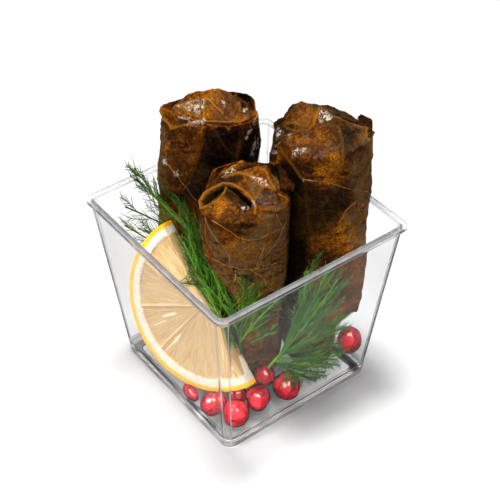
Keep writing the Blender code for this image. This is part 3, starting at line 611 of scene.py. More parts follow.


# what the view from the front corner shows on each roll, in millimetres right and up of the aim:
# flaps stand out with a painted highlight along their edges (height, edge width), dents sink and are painted
# dark with shade (depth, edge width), folds are ridges along a line, narrow ones with a painted highlight
# (height, width), sheens and glints are painted sheen and painted glints (edge width), shades darken or lighten
# (tone, edge width) as painted shade and painted light on facets and crevices, with one small stain among them,
# and veins are raised threads
drawn = {
    "dolma_left": {
        "flaps": (
            (0.55, 0.5, ((-20.8, 41.6), (-16.5, 42.8), (-11.3, 43.9), (-11.8, 39.9), (-11.6, 37.3),
             (-15.3, 38.1), (-18.8, 39.9))),
            (0.5, 0.4, ((-11, 43.9), (-8.1, 46.5), (-6.1, 43.9), (-8.4, 42.5))),
            (0.45, 0.4, ((-8.1, 46.8), (-4.9, 45.9), (-2.6, 43.9), (-1.2, 41.6), (-2.9, 40.4), (-4.9, 41.9),
             (-6.4, 44.2))),
            (0.9, 0.5, ((-2.3, 43), (0.3, 43), (1.4, 41.3), (0.6, 39), (-1.4, 39.6), (-1.7, 41.6))),
            (0.5, 0.35, ((-27.1, 39.9), (-22.8, 38.1), (-20.2, 35.2), (-15.9, 36.4), (-11.3, 35.5),
             (-12.4, 30.3), (-14.2, 24.6), (-16.2, 19.6), (-19.9, 14.4), (-27.1, 10.4))),
        ),
        "dents": (
            (1.6, 0.25, ((-1.2, 42.2), (0, 42), (0.3, 41), (-0.9, 41))),
        ),
        "folds": (
            (0.5, 0.45, ((-11.3, 43.9), (-11.8, 39.9), (-11.4, 37.3))),
            (0.3, 0.35, ((-10.7, 43.9), (-8.4, 41.6), (-6.1, 39.3))),
            (0.8, 1.3, ((-20.4, 35.4), (-21.6, 31.2), (-22.6, 26), (-23.4, 21.4))),
            (0.08, 0.4, ((-8.4, 34.4), (-5.5, 29.5), (-2, 26.6))),
            (0.7, 0.35, ((-24, 41), (-22.8, 38.1), (-20.2, 35.5), (-15.9, 36.6), (-11.3, 37), (-1.4, 36.8),
             (1.7, 38.2), (3.5, 39.7))),
        ),
        "sheens": (
            (0.9, ((-26.5, 40.5), (-24.2, 40.5), (-21.8, 34), (-22.5, 26), (-22, 16), (-24, 8), (-29, 8))),
            (0.4, ((-5.8, 45.9), (-3.8, 45.4), (-2, 43.6), (-1.2, 41.9), (-1.4, 40.4), (-2.9, 41.3),
             (-4.3, 43.6))),
            (0.3, ((-20.6, 41.7), (-15.5, 43.6), (-11.6, 44.1), (-11.4, 40.7), (-13, 38.7), (-18.1, 40.4))),
        ),
        "glints": (
            (0.3, ((-20.6, 41.7), (-18.4, 42.2), (-15.5, 43.3), (-11.6, 43.7), (-11.6, 41.2), (-13, 39.2),
             (-15.2, 39.6), (-18.1, 41))),
            (0.2, ((-19.3, 38.8), (-15.5, 38.3), (-15.5, 37.6), (-19.2, 38.1))),
            (0.3, ((-16.2, 37.1), (-14.2, 37.4), (-11.6, 38), (-11, 36.7), (-13.6, 35.8), (-16.5, 36.1))),
            (0.2, ((-6.6, 43.3), (-5.5, 43), (-5.5, 41.3), (-6.4, 41.6))),
            (0.3, ((0, 32.1), (1.2, 34.7), (2.3, 37), (3.3, 38.1), (3.6, 37), (2, 34.1), (0.6, 31.8))),
            (0.3, ((1.4, 27.4), (2.6, 31.8), (3.5, 33.8), (4, 33.8), (4, 30), (2.3, 27.2))),
            (0.3, ((-0.6, 40.2), (1.2, 40.7), (1.4, 38.4), (-0.3, 38.3))),
            (0.3, ((-22.7, 27.4), (-21.7, 27.7), (-21.5, 24.8), (-22.4, 24.8))),
            (0.3, ((-20.2, 23.4), (-18.5, 23.7), (-17.9, 22), (-19.9, 21.7))),
        ),
        "shades": (
            (-1.4, 1, ((-11.3, 35.5), (-1.4, 36.4), (3.2, 38.7), (4, 28.9), (2, 26.6), (-5.5, 21.1),
             (-11.8, 12.9), (-18.9, 16.1), (-13.9, 24.6), (-12.1, 30))),
            (0.35, 0.8, ((-20.8, 41.6), (-11.3, 43.9), (-8.1, 46.5), (-6.1, 43.9), (-11.6, 37.3),
             (-18.8, 39.9))),
        ),
        "veins": (
            ((-23.1, 26), (-21.4, 23.7), (-19.4, 21.4), (-17.3, 18.5), (-15.3, 15.9), (-13.9, 14.4)),
            ((-10.7, 43.9), (-8.4, 41.6), (-6.1, 39.3)),
        ),
    },
    "dolma_right": {
        "flaps": (
            (1.1, 0.35, ((9.8, 30.7), (11.7, 31.5), (15.6, 32.8), (18.5, 33.8), (19.7, 36), (20.7, 38.9),
             (21.3, 40.4), (23.6, 39.2), (25.8, 37.6), (28.4, 36.5), (31.6, 35.4), (34.8, 34.3), (40.1, 33.1),
             (40.7, 14.4), (38.4, -17.3), (8.1, -17.3), (6.6, 0), (9.8, 26.6))),
            (0.5, 0.4, ((16.1, 42.8), (21, 40.4), (18.5, 39.6), (15.3, 37.9), (11.3, 36.3), (14, 39.9))),
            (0.4, 0.4, ((11.3, 35.8), (15.3, 37.4), (18.1, 38.1), (20.4, 39.1), (19.5, 36.3), (18.1, 34.7),
             (14, 34.7))),
        ),
        "dents": (
            (1.5, 0.3, ((26, 38), (28.7, 37.8), (32.1, 37.1), (32.6, 36.2), (30.9, 36), (28.3, 36.8))),
            (1, 0.3, ((9, 31.5), (9.8, 30), (10.1, 26.6), (9.4, 26), (9, 28.9))),
        ),
        "folds": (
            (0.5, 0.5, ((21.2, 39.6), (20.4, 37), (19.7, 35))),
            (0.7, 0.3, ((10.1, 30.9), (11.7, 31.5), (15.6, 32.8), (18.5, 33.8), (19.7, 36), (20.7, 38.9),
             (21.3, 40.2), (23.6, 39), (25.8, 37.4), (28.4, 36.3), (31.6, 35.2), (34.8, 34.1), (37, 33.2))),
            (0.15, 0.5, ((26.8, 35), (28.1, 31.5), (28.3, 28), (26.9, 23.7))),
            (0.3, 0.4, ((34.5, 34.7), (35.2, 31.8), (35.5, 29.3), (34.6, 22))),
            (0.3, 0.5, ((10.7, 30.3), (12.7, 27.7), (14.9, 25.1), (16.8, 21.3))),
        ),
        "sheens": (
            (0.4, ((19, 42), (33, 39.4), (32.9, 37.4), (26.2, 38.2), (21.5, 40.6))),
            (1.2, ((32.4, 28.9), (29.5, 25.7), (30, 19.9), (30.9, 14.4), (28, 9.5), (28.9, 2.9), (31.8, 0),
             (39, 0.2), (39.4, 33.8), (33.5, 33))),
        ),
        "glints": (
            (0.2, ((21.2, 39.6), (23.6, 38.8), (25.5, 37.3), (24, 36.9), (22.9, 37.5), (22.5, 36.3),
             (21.6, 36.7))),
            (0.3, ((9.7, 35.6), (10.6, 34.8), (10.1, 32.6), (9.1, 31.4), (8.8, 33))),
            (0.3, ((8.4, 30.3), (9.4, 30.3), (9.2, 27.7), (8.1, 27.7))),
            (0.3, ((14.2, 28.9), (17.9, 28.9), (17.9, 27.7), (14.7, 27.7))),
            (0.3, ((17, 20.9), (19.1, 20.8), (19.1, 20.1), (17, 20.2))),
            (0.3, ((12.3, 33.8), (13.3, 33.8), (13.1, 32.4), (12.4, 32.4))),
        ),
        "shades": (
            (-1.2, 0.7, ((6, 40), (9.4, 37.6), (9.9, 31), (9.9, 26), (5, 26))),
            (-0.9, 2, ((15.9, 20.2), (28.9, 17.6), (30.3, 13), (26, 8.7), (18.8, 10.1), (15.9, 2.9),
             (15, 14.4))),
            (-0.6, 2, ((8, 44), (36, 44), (36, 28), (8, 28))),
            (0.6, 0.4, ((16.4, 43.3), (21.3, 40.2), (20.2, 37.4), (19, 35), (11, 36.4), (11.9, 37.9))),
            (-0.6, 0.4, ((16.4, 43.6), (33.2, 40.4), (32.9, 36.4), (26.2, 37.4), (21.5, 40))),
            (-1, 0.5, ((18.6, 32.9), (19.9, 33.1), (20.6, 32.2), (19.8, 31.4), (18.6, 31.8))),
            (-0.9, 0.8, ((27.6, 34.6), (31.8, 33.6), (31.4, 29.4), (28.6, 29.6))),
            (0.5, 1.6, ((11.5, 29.5), (20, 34), (26, 34.5), (28, 26), (22, 21.5), (17.5, 22))),
            (-2.2, 0.9, ((11, 26), (14.2, 24), (17, 20.2), (17.6, 8), (17, -12), (11, -12))),
        ),
        "veins": (
            ((16.8, 20.4), (18.8, 20.1), (23.6, 19.5), (29.4, 17.7), (33.2, 17.1), (35.6, 16.8)),
            ((32, 13.6), (30.2, 12.4), (28, 9.4), (26.6, 6)),
        ),
    },
    "dolma_front": {
        "flaps": (
            (0.35, 0.4, ((-12.4, 12), (-7.8, 14.4), (-5.4, 17.8), (-3.2, 16.6), (1.2, 12.6), (3, 10.4),
             (1.4, 9.5), (-1.2, 9.5), (-4.6, 9.2), (-5.8, 8.1), (-9.5, 8.5))),
            (0.4, 0.4, ((5.5, 23.1), (6.4, 21.1), (8.7, 16.8), (9.7, 17), (9.8, 19.6), (7.8, 21.4))),
        ),
        "dents": (
            (1.7, 0.35, ((-12.1, 13.9), (-11, 15.6), (-9.2, 16.6), (-6.1, 18.1), (-6.4, 17), (-9.2, 15),
             (-11.6, 13.1))),
            (1.7, 0.35, ((-4.9, 17.9), (-2.6, 17.5), (-0.6, 16), (1.4, 14.2), (2.6, 12.4), (1.2, 12.6),
             (-0.9, 14.3), (-3.2, 16.5))),
            (0.8, 0.4, ((-3.5, 22.7), (-1.7, 23.1), (1.4, 23.6), (4.9, 24.4), (8.4, 24.8), (8.8, 25.4),
             (6.3, 25.7), (2, 25.2), (-0.9, 24.1))),
            (0.6, 0.3, ((0, 6.5), (1.4, 7), (4.2, 7.2), (2.9, 6.4))),
            (0.7, 0.4, ((-3.1, 5.1), (-0.8, 3.8), (3.4, 3), (2.1, 4.2), (-1.4, 5.1))),
            (0.6, 0.4, ((-2.1, -7.4), (0, -9), (3.4, -9.6), (2, -8.4), (-0.3, -7.5))),
            (0.5, 0.3, ((6.6, 0.9), (8.7, 3.5), (9.8, 5.5), (8.4, 2.6))),
        ),
        "folds": (
            (0.6, 0.55, ((-12.7, 12.1), (-13, 14.2), (-11.6, 16.3), (-9.2, 17.9), (-6.1, 19.1), (-3.2, 18.8),
             (-0.3, 17.2), (2, 15), (3.2, 12.7), (3, 10.4))),
            (0.5, 0.45, ((-5.3, 17.8), (-5.6, 16.5), (-7.8, 14.4), (-10.1, 13), (-12.4, 12))),
            (0.6, 0.5, ((-7.8, 22), (-5.2, 23), (-1.4, 25.3), (2, 26.1), (6.1, 26.3), (9.2, 25.4))),
            (0.4, 0.5, ((-5.5, 20.8), (-2.6, 22), (0.8, 21.8), (3.4, 20.2), (6, 19), (8.2, 17))),
            (0.4, 0.4, ((5.5, 23.1), (6.4, 21.1), (7.5, 19.1), (8.7, 16.8))),
            (0.3, 0.4, ((7.8, 21.4), (9.8, 19.6), (9.7, 17))),
        ),
        "sheens": (
            (1.4, ((-8.7, -1.4), (-4.3, 1.4), (0, 4.3), (4.9, 8.1), (9, 14), (12.6, 12), (12.8, -11.5),
             (4.9, -14.4), (-5.8, -14.4), (-10.1, -10.1))),
            (0.8, ((-11, 7), (-9.5, 7), (-6, 0), (-5, -4.5), (-8.5, -3), (-10.5, 1))),
            (0.4, ((1, 20), (3.4, 19.3), (5.3, 16.4), (5.8, 14.4), (3.8, 13.7), (1.9, 16.4))),
            (0.4, ((7.7, 21.2), (10.1, 20.7), (9.6, 17.3), (8.2, 17.8))),
            (0.4, ((8.7, 24.3), (11.6, 23.7), (11.3, 22), (9, 22.2))),
        ),
        "glints": (
            (0.3, ((-5.5, 22.4), (-3.4, 23.6), (-2.6, 23.1), (-4.8, 21.2), (-6.6, 21.4))),
            (0.3, ((1.7, 21.2), (4.3, 20.9), (6.3, 20.2), (6.9, 18.5), (5.3, 18.3), (3.4, 19.7))),
            (0.3, ((-1, 12.3), (1, 12.4), (1, 11.6), (-1, 11.6))),
            (0.3, ((2, 14.2), (2.9, 14.2), (3, 12.4), (2.3, 12.4))),
        ),
        "shades": (
            (-0.9, 0.8, ((-5, 17.3), (-3.2, 16.6), (1.2, 12.6), (2.6, 11.4), (-2, 12), (-4.6, 14))),
            (0.5, 1, ((-12.4, 12), (-7.8, 14.4), (-5.6, 16), (-5.8, 10.1), (-9.5, 8.5))),
            (0.5, 1, ((-9.6, 18.6), (-3, 23.6), (5, 25), (9, 19.5), (9, 15), (3.6, 18.4), (-4, 20))),
        ),
        "veins": (
            ((-12.4, 0), (-11.4, -1.3), (-8.5, -2.9), (-5.3, -4.5), (-2.1, -5.3), (2.1, -5.6), (4.7, -4.8),
             (7.2, -4.2), (11.4, -3.1), (13.2, -2.1)),
            ((-9.5, 8.5), (-6.9, 7), (-3.7, 5.1), (-2.1, 3.8), (0.2, 2.9), (2.4, 2.9), (4.7, 3.4), (7.9, 5),
             (10.9, 6.3), (13.2, 6)),
            ((9.2, 10.3), (9.8, 8.4), (10.9, 6.3)),
            ((12, 8), (10.9, 6.3), (9.2, 2.3), (6.1, -1.7)),
            ((-11.4, 9.6), (-10.4, 6.4), (-8.2, 3.2), (-6, 0.6), (-4.7, -1.9), (-4.2, -4.6)),
            ((-11.4, 9.6), (-11.4, 5.8), (-11.1, 2.6), (-9.5, 0), (-8.4, -2.6)),
            ((9.8, 16.1), (11.3, 15.2), (12.7, 14.2)),
            ((5.6, 0.6), (4, -2.6), (3.1, -5.1)),
            ((1.7, -5.8), (3.8, -7.2), (5.3, -8.3), (6.6, -10.6), (9.2, -12.2)),
            ((-2.7, -5.8), (-2.9, -8.4), (-4.9, -11.8)),
        ),
    },
}
# layers of a leaf's skin: number added to its seed, height and size in millimetres, stretch upwards
# and a crease's width as a share of the ripple; a layer without a width is smooth lumps
leafSkin = (
    (0, 0.16, 15, 1.0, None), (1, 0.07, 3.5, 1.0, None), (2, 0.30, 11, 1.5, 0.2), (3, -0.24, 8, 1.5, 0.14),
    (4, 0.14, 4, 1.0, 0.25), (6, -0.12, 3, 0.5, 0.2),
)
rollGrid = {"cols": 320, "footRows": 8, "sideRows": 196, "brimRows": 20, "endRows": 70}


# a roll as a grid: rows up its rounded foot and its side, over the brim and in across its end
def makeRoll(name):
    roll, cols = rolls[name], rollGrid["cols"]
    height = roll["height"] * mm
    angle = np.linspace(0, 2 * math.pi, cols, endpoint=False)[None, :]
    turns = np.linspace(0, math.pi / 2, rollGrid["footRows"], endpoint=False)[1:]
    footShare = 1 - footRound * (1 - np.sin(turns)) / (roll["radii"][0] * mm)
    sideZ = np.linspace(rollFoot + footRound, height - 3.5 * mm, rollGrid["sideRows"])
    endShare = np.concatenate((np.linspace(1.0, 0.94, 6), [0.934],
                               np.linspace(0.92, 0.02, rollGrid["endRows"] - 7)))
    z = np.concatenate((rollFoot + footRound * (1 - np.cos(turns)), sideZ, np.full(len(endShare), height)))
    share = np.concatenate((footShare, np.ones(len(sideZ)), endShare))[:, None]
    brim = len(turns) + len(sideZ)
    isEnd = np.arange(len(z))[:, None] >= brim
    z = np.repeat(z[:, None], cols, axis=1)
    t = np.clip((z - rollFoot) / (height - rollFoot), 0, 1)
    middle, radius = rollAxis(roll, z)
    start, lean = roll["edge"]
    past = np.mod(angle - np.radians(start + lean * t), 2 * math.pi)
    radius = radius + wave(angle, t, roll["phase"]) + 0.7 * mm * np.exp(-past / 1.6)
    x = share * radius * np.cos(angle)
    y = share * radius * flatness * np.sin(angle)
    backwards = (np.array(roll["end"]) - np.array(roll["foot"])) @ deep * mm / height
    lift = -backwards * y * smoothStep(z, 0.4 * height, height)
    flat = middle + x[..., None] * across + y[..., None] * deep
    ends = endLift(roll, share, angle, x, y)
    below = np.minimum(ends[brim - 1], 0) * np.maximum(1 - (height - z) / (25 * mm), 0) ** 0.7
    grid = np.dstack((flat, z + lift + np.where(isEnd, ends, below)))
    steps = np.linspace(0, 1, rollGrid["brimRows"] + 2)[1:-1]
    between = grid[brim - 1] + steps[:, None, None] * (grid[brim] - grid[brim - 1])
    grid = np.concatenate((grid[:brim], between, grid[brim:]))
    past = np.insert(past, brim, np.repeat(past[brim:brim + 1], len(steps), axis=0), axis=0)
    share = np.insert(share, brim, np.ones((len(steps), 1)), axis=0)
    for _ in range(2):
        grid = pressedBySlice(pressedByNeighbours(name, grid))
    grid = pressedBySeeds(name, grid)
    relief, edge, shade, (sheen, glint) = leafRelief(name, grid)
    # painted shade in the crevices where the rolls come close
    shade = shade - 2.6 * nearNeighbours(name, grid)
    grid = grid + (relief * smoothStep(share, 0.0, 0.3))[..., None] * gridNormals(grid)
    foot = np.append(np.array(roll["foot"]) * mm, rollFoot)
    piece = closedPiece(name + "_leaf", grid, foot, grid[-1].mean(axis=0))
    # a faint painted highlight along the wrapped flap's edge
    seam = np.exp(-np.minimum(past, 2 * math.pi - past) / 0.03)
    addValues(piece, edge=np.maximum(edge, 0.08 * seam), shade=shade, sheen=sheen, glint=glint)
    addValues(piece, ends=(0, 1), wet=smoothStep(gridNormals(grid)[..., 2], 0.15, 0.6))
    piece.data.materials.append(leafMaterial(name + "_material", roll["seed"]))
    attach(piece, "root")
    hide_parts(name)


# relief of a leaf along its normals, pale edges as painted highlights, its tone with painted shade and painted
# light, and painted sheen and glints: the skin's lumps and creases, with what is drawn on the side that faces
# the front corner
def leafRelief(name, grid):
    seed = rolls[name]["seed"] * 10
    relief = np.full(grid.shape[:-1], -0.12)
    for number, height, size, stretch, width in leafSkin:
        layer = ripple(seed + number, grid, size * mm, stretch)
        relief += height * (layer if width is None else np.exp(-np.abs(layer) / width))
    edge = np.zeros(grid.shape[:-1])
    shade = 0.35 * ripple(seed + 5, grid, 16 * mm)
    places = onView(grid)
    sightline = viewEye - grid
    sightline /= np.linalg.norm(sightline, axis=-1, keepdims=True)
    facing = smoothStep(np.sum(gridNormals(grid) * sightline, axis=-1), 0.02, 0.25)
    for height, soft, outline in drawn[name]["flaps"]:
        inward = insideDistance(places, outline)
        relief += facing * height * smoothStep(inward, -0.1, soft)
        # painted highlight along the flap's edge
        edge = np.maximum(edge, 0.22 * facing * np.exp(-(inward / 0.25) ** 2))
    for depth, soft, outline in drawn[name]["dents"]:
        inward = insideDistance(places, outline)
        relief -= facing * depth * smoothStep(inward, -soft, 2 * soft)
        # painted shade: the dent is darkened, more for deeper ones
        shade -= facing * min(1.7 * depth, 2.8) * smoothStep(inward, -soft, soft)
    for height, width, line in drawn[name]["folds"]:
        near = facing * np.exp(-(lineDistance(places, line) / width) ** 2)
        relief += height * near
        # painted highlight along narrow folds
        edge = np.maximum(edge, min(1.4 * height, 0.75) * (width < 0.7) * near ** 2.2)
    # painted shade and painted light from the drawn shades
    for tone, soft, outline in drawn[name]["shades"]:
        shade += facing * tone * smoothStep(insideDistance(places, outline), -soft, soft)
    # painted sheen and painted glints where drawn
    pale = []
    for kind in ("sheens", "glints"):
        shares = [smoothStep(insideDistance(places, outline), -soft, soft)
                  for soft, outline in drawn[name][kind]]
        pale.append(facing * np.max(shares, axis=0))
    return relief * mm, edge, shade, pale


# a smooth line through drawn places (Catmull-Rom), about two places a millimetre
def finely(line):
    line = np.array(line, dtype=float)
    line = np.vstack((2 * line[0] - line[1], line, 2 * line[-1] - line[-2]))
    parts = [line[1:2]]
    for k in range(1, len(line) - 2):
        before, one, two, after = line[k - 1:k + 3]
        count = max(int(np.linalg.norm(two - one) / 0.5), 1)
        t = (np.arange(1, count + 1) / count)[:, None]
        parts.append(0.5 * (2 * one + (two - before) * t + (2 * before - 5 * one + 4 * two - after) * t ** 2
                            + (3 * one - before - 3 * two + after) * t ** 3))
    return np.vstack(parts)


# where rays meet a roll, as one line: a ray that misses or leaps to another side is left out
def castOn(tree, rays):
    found = []
    for origin, heading in rays:
        spot = tree.ray_cast(Vector(origin), Vector(heading))[0]
        if spot is not None and (not found or (spot - found[-1]).length < 2.5 * mm):
            found.append(spot)
    return np.array(found)


# a drawn line on a roll, nudged so that it wavers
def onRoll(tree, line, seed):
    places = finely(line)
    flat = np.column_stack((places, np.zeros(len(places))))
    places = places + 0.07 * np.column_stack((ripple(seed, flat, 3.0), ripple(seed + 1, flat, 3.0)))
    return castOn(tree, [(viewEye, ray) for ray in sightLines(places)])


# veins on the sides away from the view: a midrib up the roll with curved branches, set out on
# planes beside it and cast level onto it
def unseenVeins(name, tree):
    roll = rolls[name]
    draw = random.Random(roll["seed"] + 50)
    lines = []
    for turn in (10, 62, 118, 172):
        turn = math.radians(turn + draw.uniform(-8, 8))
        outward = np.append(math.cos(turn) * across + math.sin(turn) * deep, 0.0)
        aside = np.append(-math.sin(turn) * across + math.cos(turn) * deep, 0.0)
        for base in (roll["height"] * 0.2, roll["height"] * 0.62):
            start = np.array([draw.uniform(-3, 3), base + draw.uniform(-4, 4)])
            heading = math.pi / 2 + draw.uniform(-0.5, 0.5)
            rib = bentLine(start * mm, heading, 26 * mm, draw.uniform(-0.4, 0.4), 40)
            plans = [rib]
            for k in range(6):
                side = 1 if k % 2 else -1
                plans.append(bentLine(placeOn(rib, 0.1 + 0.14 * k), math.pi / 2 + side * draw.uniform(0.7, 1.0),
                                      draw.uniform(7, 12) * mm, -side * 0.5, 20))
            for plan in plans:
                middles = np.column_stack((rollAxis(roll, plan[:, 1])[0], plan[:, 1]))
                origins = middles + plan[:, :1] * aside + 60 * mm * outward
                lines.append(castOn(tree, [(origin, -outward) for origin in origins]))
    return lines


def rollTree(name):
    mesh = bpy.data.objects[name + "_leaf"].data
    return BVHTree.FromPolygons([v.co[:] for v in mesh.vertices], [p.vertices[:] for p in mesh.polygons])


# veins as tapering tubes half sunk in the leaf: radii in millimetres of drawn and unseen ones
veinTube = {"seen": 0.13, "unseen": 0.11, "taper": 0.45, "steps": 24, "sides": 6}


def makeVeins(name):
    t = veinTube
    tree = rollTree(name)
    seed = rolls[name]["seed"] * 100
    veins = [(onRoll(tree, line, seed + k), t["seen"]) for k, line in enumerate(drawn[name]["veins"])]
    veins += [(line, t["unseen"]) for line in unseenVeins(name, tree)]
    veins = [(line, width) for line, width in veins if len(line) > 3]
    radii = [np.linspace(width, t["taper"] * width, t["steps"]) * mm for _, width in veins]
    piece = addTubes(name + "_veins", [line for line, _ in veins], radii, t["sides"])
    piece.data.materials.append(veinMaterial())
    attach(piece, "root")


# a leaf's ribs: orange brown, wet
@cache
def veinMaterial():
    material, tree, shader = newMaterial("leaf_rib", {"Roughness": 0.42, "Specular IOR Level": 0.3})
    colour = ramp(tree, noiseAt(tree, objectPlace(tree), 260, 3), ((0.35, (0.2, 0.07, 0.002)),
                                                                  (0.62, (0.48, 0.19, 0.008))))
    link(tree, colour, shader.inputs["Base Color"])
    return material


# loose corners of leaf: an inner line that lies on the roll and an outer one beyond it, on the view
loose = {
    "dolma_front": (((8.4, 24.6), (9.4, 22.6), (9.8, 20.2), (10.2, 17.4)),
                    ((9.8, 25.0), (12.2, 24.0), (14.5, 20.2), (14.0, 16.8))),
    "dolma_right": (((32.6, 38.2), (33.6, 36.8), (34.6, 34.9), (35.4, 32.0)),
                    ((33.6, 39.2), (35.6, 38.2), (36.9, 37.3), (36.9, 33.0))),
}
looseSheet = {
    "along": 28, "beside": 14, "startLift": 0.5 * mm, "stopLift": 1.6 * mm, "bulge": 0.5 * mm,
    "uneven": 0.12 * mm, "thin": 0.22 * mm, "thick": 0.1 * mm, "shade": -0.9,
}


# a thin curled sheet between the two lines: a grid over its front and back, swollen in the middle
def makeLoose(name):
    tree = rollTree(name)
    s, along = looseSheet, looseSheet["along"]
    rays = []
    for line in loose[name]:
        line = finely(line)
        steps = np.linspace(0, 1, along) * (len(line) - 1)
        line = np.column_stack([np.interp(steps, np.arange(len(line)), line[:, k]) for k in (0, 1)])
        ray = sightLines(line)
        rays.append(ray / np.linalg.norm(ray, axis=1, keepdims=True))
    far = np.array([tree.ray_cast(Vector(viewEye), Vector(ray))[3] or 0 for ray in rays[0]])
    usual = np.median(far[far > 0])
    far = np.where(far > 0, np.clip(far, usual - 3 * mm, usual + mm), usual)[:, None]
    start = viewEye + rays[0] * (far + s["startLift"])
    stop = viewEye + rays[1] * (far + s["stopLift"])
    share = np.linspace(0, 1, s["beside"])
    swell = np.sin(math.pi * share)[None, :, None]
    sheet = start[:, None] + share[None, :, None] * (stop - start)[:, None]
    sheet = sheet + towards * (s["bulge"] * swell + s["uneven"] * ripple(71, sheet, 3 * mm)[..., None])
    thin = s["thin"] + s["thick"] * swell
    grid = np.concatenate((sheet + towards * thin, (sheet - towards * thin)[:, ::-1]), axis=1)
    piece = closedPiece(name + "_corner", grid, grid[0].mean(axis=0), grid[-1].mean(axis=0))
    # a painted highlight along the far edge, and the whole corner darker as painted shade
    edge = 0.5 * smoothStep(np.concatenate((share, share[::-1])), 0.9, 1.0)
    addValues(piece, edge=np.tile(edge, (along, 1)))
    addValues(piece, ends=(s["shade"], s["shade"]), shade=np.full(grid.shape[:-1], s["shade"]))
    piece.data.materials.append(bpy.data.materials[name + "_material"])
    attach(piece, "root")


# a cooked vine leaf: mottled orange brown with an olive cast, specks, a net of small veins, painted shade and
# painted light where drawn, a painted sheen, painted shade in pits along its wrinkles, painted highlights on
# edges, painted glints, and thin oil on top
def leafMaterial(name, seed):
    material, tree, shader = newMaterial(name, {"Specular IOR Level": 0.03, "Coat Roughness": 0.08})
    place = mapped(tree, objectPlace(tree), Location=(seed * 0.37, seed * 0.11, 0))
    shaded, edge = attribute(tree, "shade"), attribute(tree, "edge")
    mottle = maths(tree, "MULTIPLY_ADD", noiseAt(tree, place, 170, 8, 0.75, 0.6), 0.62, 0.185)
    fine = noiseAt(tree, place, 1000, 5, 0.75)
    tiny = noiseAt(tree, place, 2300, 3, 0.7)
    # the shade attribute moves the colour down or up the ramp: painted shade and painted light
    colour = ramp(tree, maths(tree, "MULTIPLY_ADD", shaded, 0.13, mottle), (
        (0.29, (0.0015, 0.0005, 0.0001)), (0.42, (0.034, 0.008, 0.0002)), (0.50, (0.12, 0.030, 0.0003)),
        (0.58, (0.25, 0.073, 0.0005)), (0.70, (0.46, 0.16, 0.002))))
    olive = times(tree, fade(tree, noiseAt(tree, place, 75, 4, 0.6), 0.42, 0.62), 0.3)
    colour = blendColour(tree, olive, colour, (0.085, 0.036, 0.0006))
    for pattern, stops in ((fine, ((0.38, grey(0.3)), (0.5, grey(0.9)), (0.6, grey(1.5)))),
                           (tiny, ((0.36, grey(0.35)), (0.5, grey(0.9)), (0.62, grey(1.7))))):
        colour = blendColour(tree, 0.9, colour, ramp(tree, pattern, stops), "MULTIPLY")
    net = fade(tree, cellsAt(tree, place, "DISTANCE_TO_EDGE", 520)["Distance"], 0.0, 0.08, 1, 0)
    colour = blendColour(tree, times(tree, net, 0.05), colour, (0.3, 0.11, 0.003))
    outside = fade(tree, maths(tree, "MULTIPLY_ADD", shaded, 0.2, 0.6), 0.2, 0.48)  # 0 in dents
    # painted sheen: a grey brown laid where drawn, with ragged edges, not in the dents
    ragged = times(tree, fade(tree, noiseAt(tree, place, 420, 8, 0.85), 0.43, 0.53, 0, 0.85), outside)
    colour = blendColour(tree, times(tree, ragged, attribute(tree, "sheen")), colour, (0.125, 0.072, 0.026))
    # painted shade: near black strokes in pits along the wrinkles, in patches
    flatter = mapped(tree, place, Scale=(0.5, 0.5, 1.5))
    wrinkleShade = fade(tree, noiseAt(tree, flatter, 330, 5, 0.7, 0.8), 0.54, 0.6, 0, 0.85)
    wrinkleShade = times(tree, wrinkleShade, fade(tree, noiseAt(tree, place, 130, 3, 0.6), 0.42, 0.56, 0.25, 1))
    colour = blendColour(tree, wrinkleShade, colour, (0.008, 0.002, 0.0001))
    # painted highlight along flap edges, folds and the wrapped edge
    colour = blendColour(tree, times(tree, edge, 0.7), colour, (0.46, 0.18, 0.008))
    # painted glints: pale spots where drawn
    longer = mapped(tree, place, Scale=(1.5, 1.5, 0.8))
    glintSpots = fade(tree, noiseAt(tree, longer, 620, 4, 0.75, 1.2), 0.5, 0.56)
    colour = blendColour(tree, times(tree, glintSpots, attribute(tree, "glint")), colour, (0.56, 0.45, 0.35))
    link(tree, colour, shader.inputs["Base Color"])
    link(tree, fade(tree, mottle, 0.3, 0.7, 0.45, 0.65), shader.inputs["Roughness"])
    oil = times(tree, fade(tree, noiseAt(tree, place, 380, 4, 0.7, 0.8), 0.5, 0.57), outside)
    oil = times(tree, oil, maths(tree, "MULTIPLY_ADD", attribute(tree, "wet"), 0.4, 0.1))
    link(tree, oil, shader.inputs["Coat Weight"])
    folded = maths(tree, "SUBTRACT", noiseAt(tree, place, 260, 4, 0.6, 1.0), 0.5)
    skin = bump(tree, mottle, 0.5, 0.0009, bump(tree, maths(tree, "ABSOLUTE", folded), 0.6, 0.0016))
    skin = bump(tree, net, 0.3, 0.0001, bump(tree, fine, 0.7, 0.00035, skin))
    link(tree, skin, shader.inputs["Normal"])
    link(tree, skin, shader.inputs["Coat Normal"])
    return material


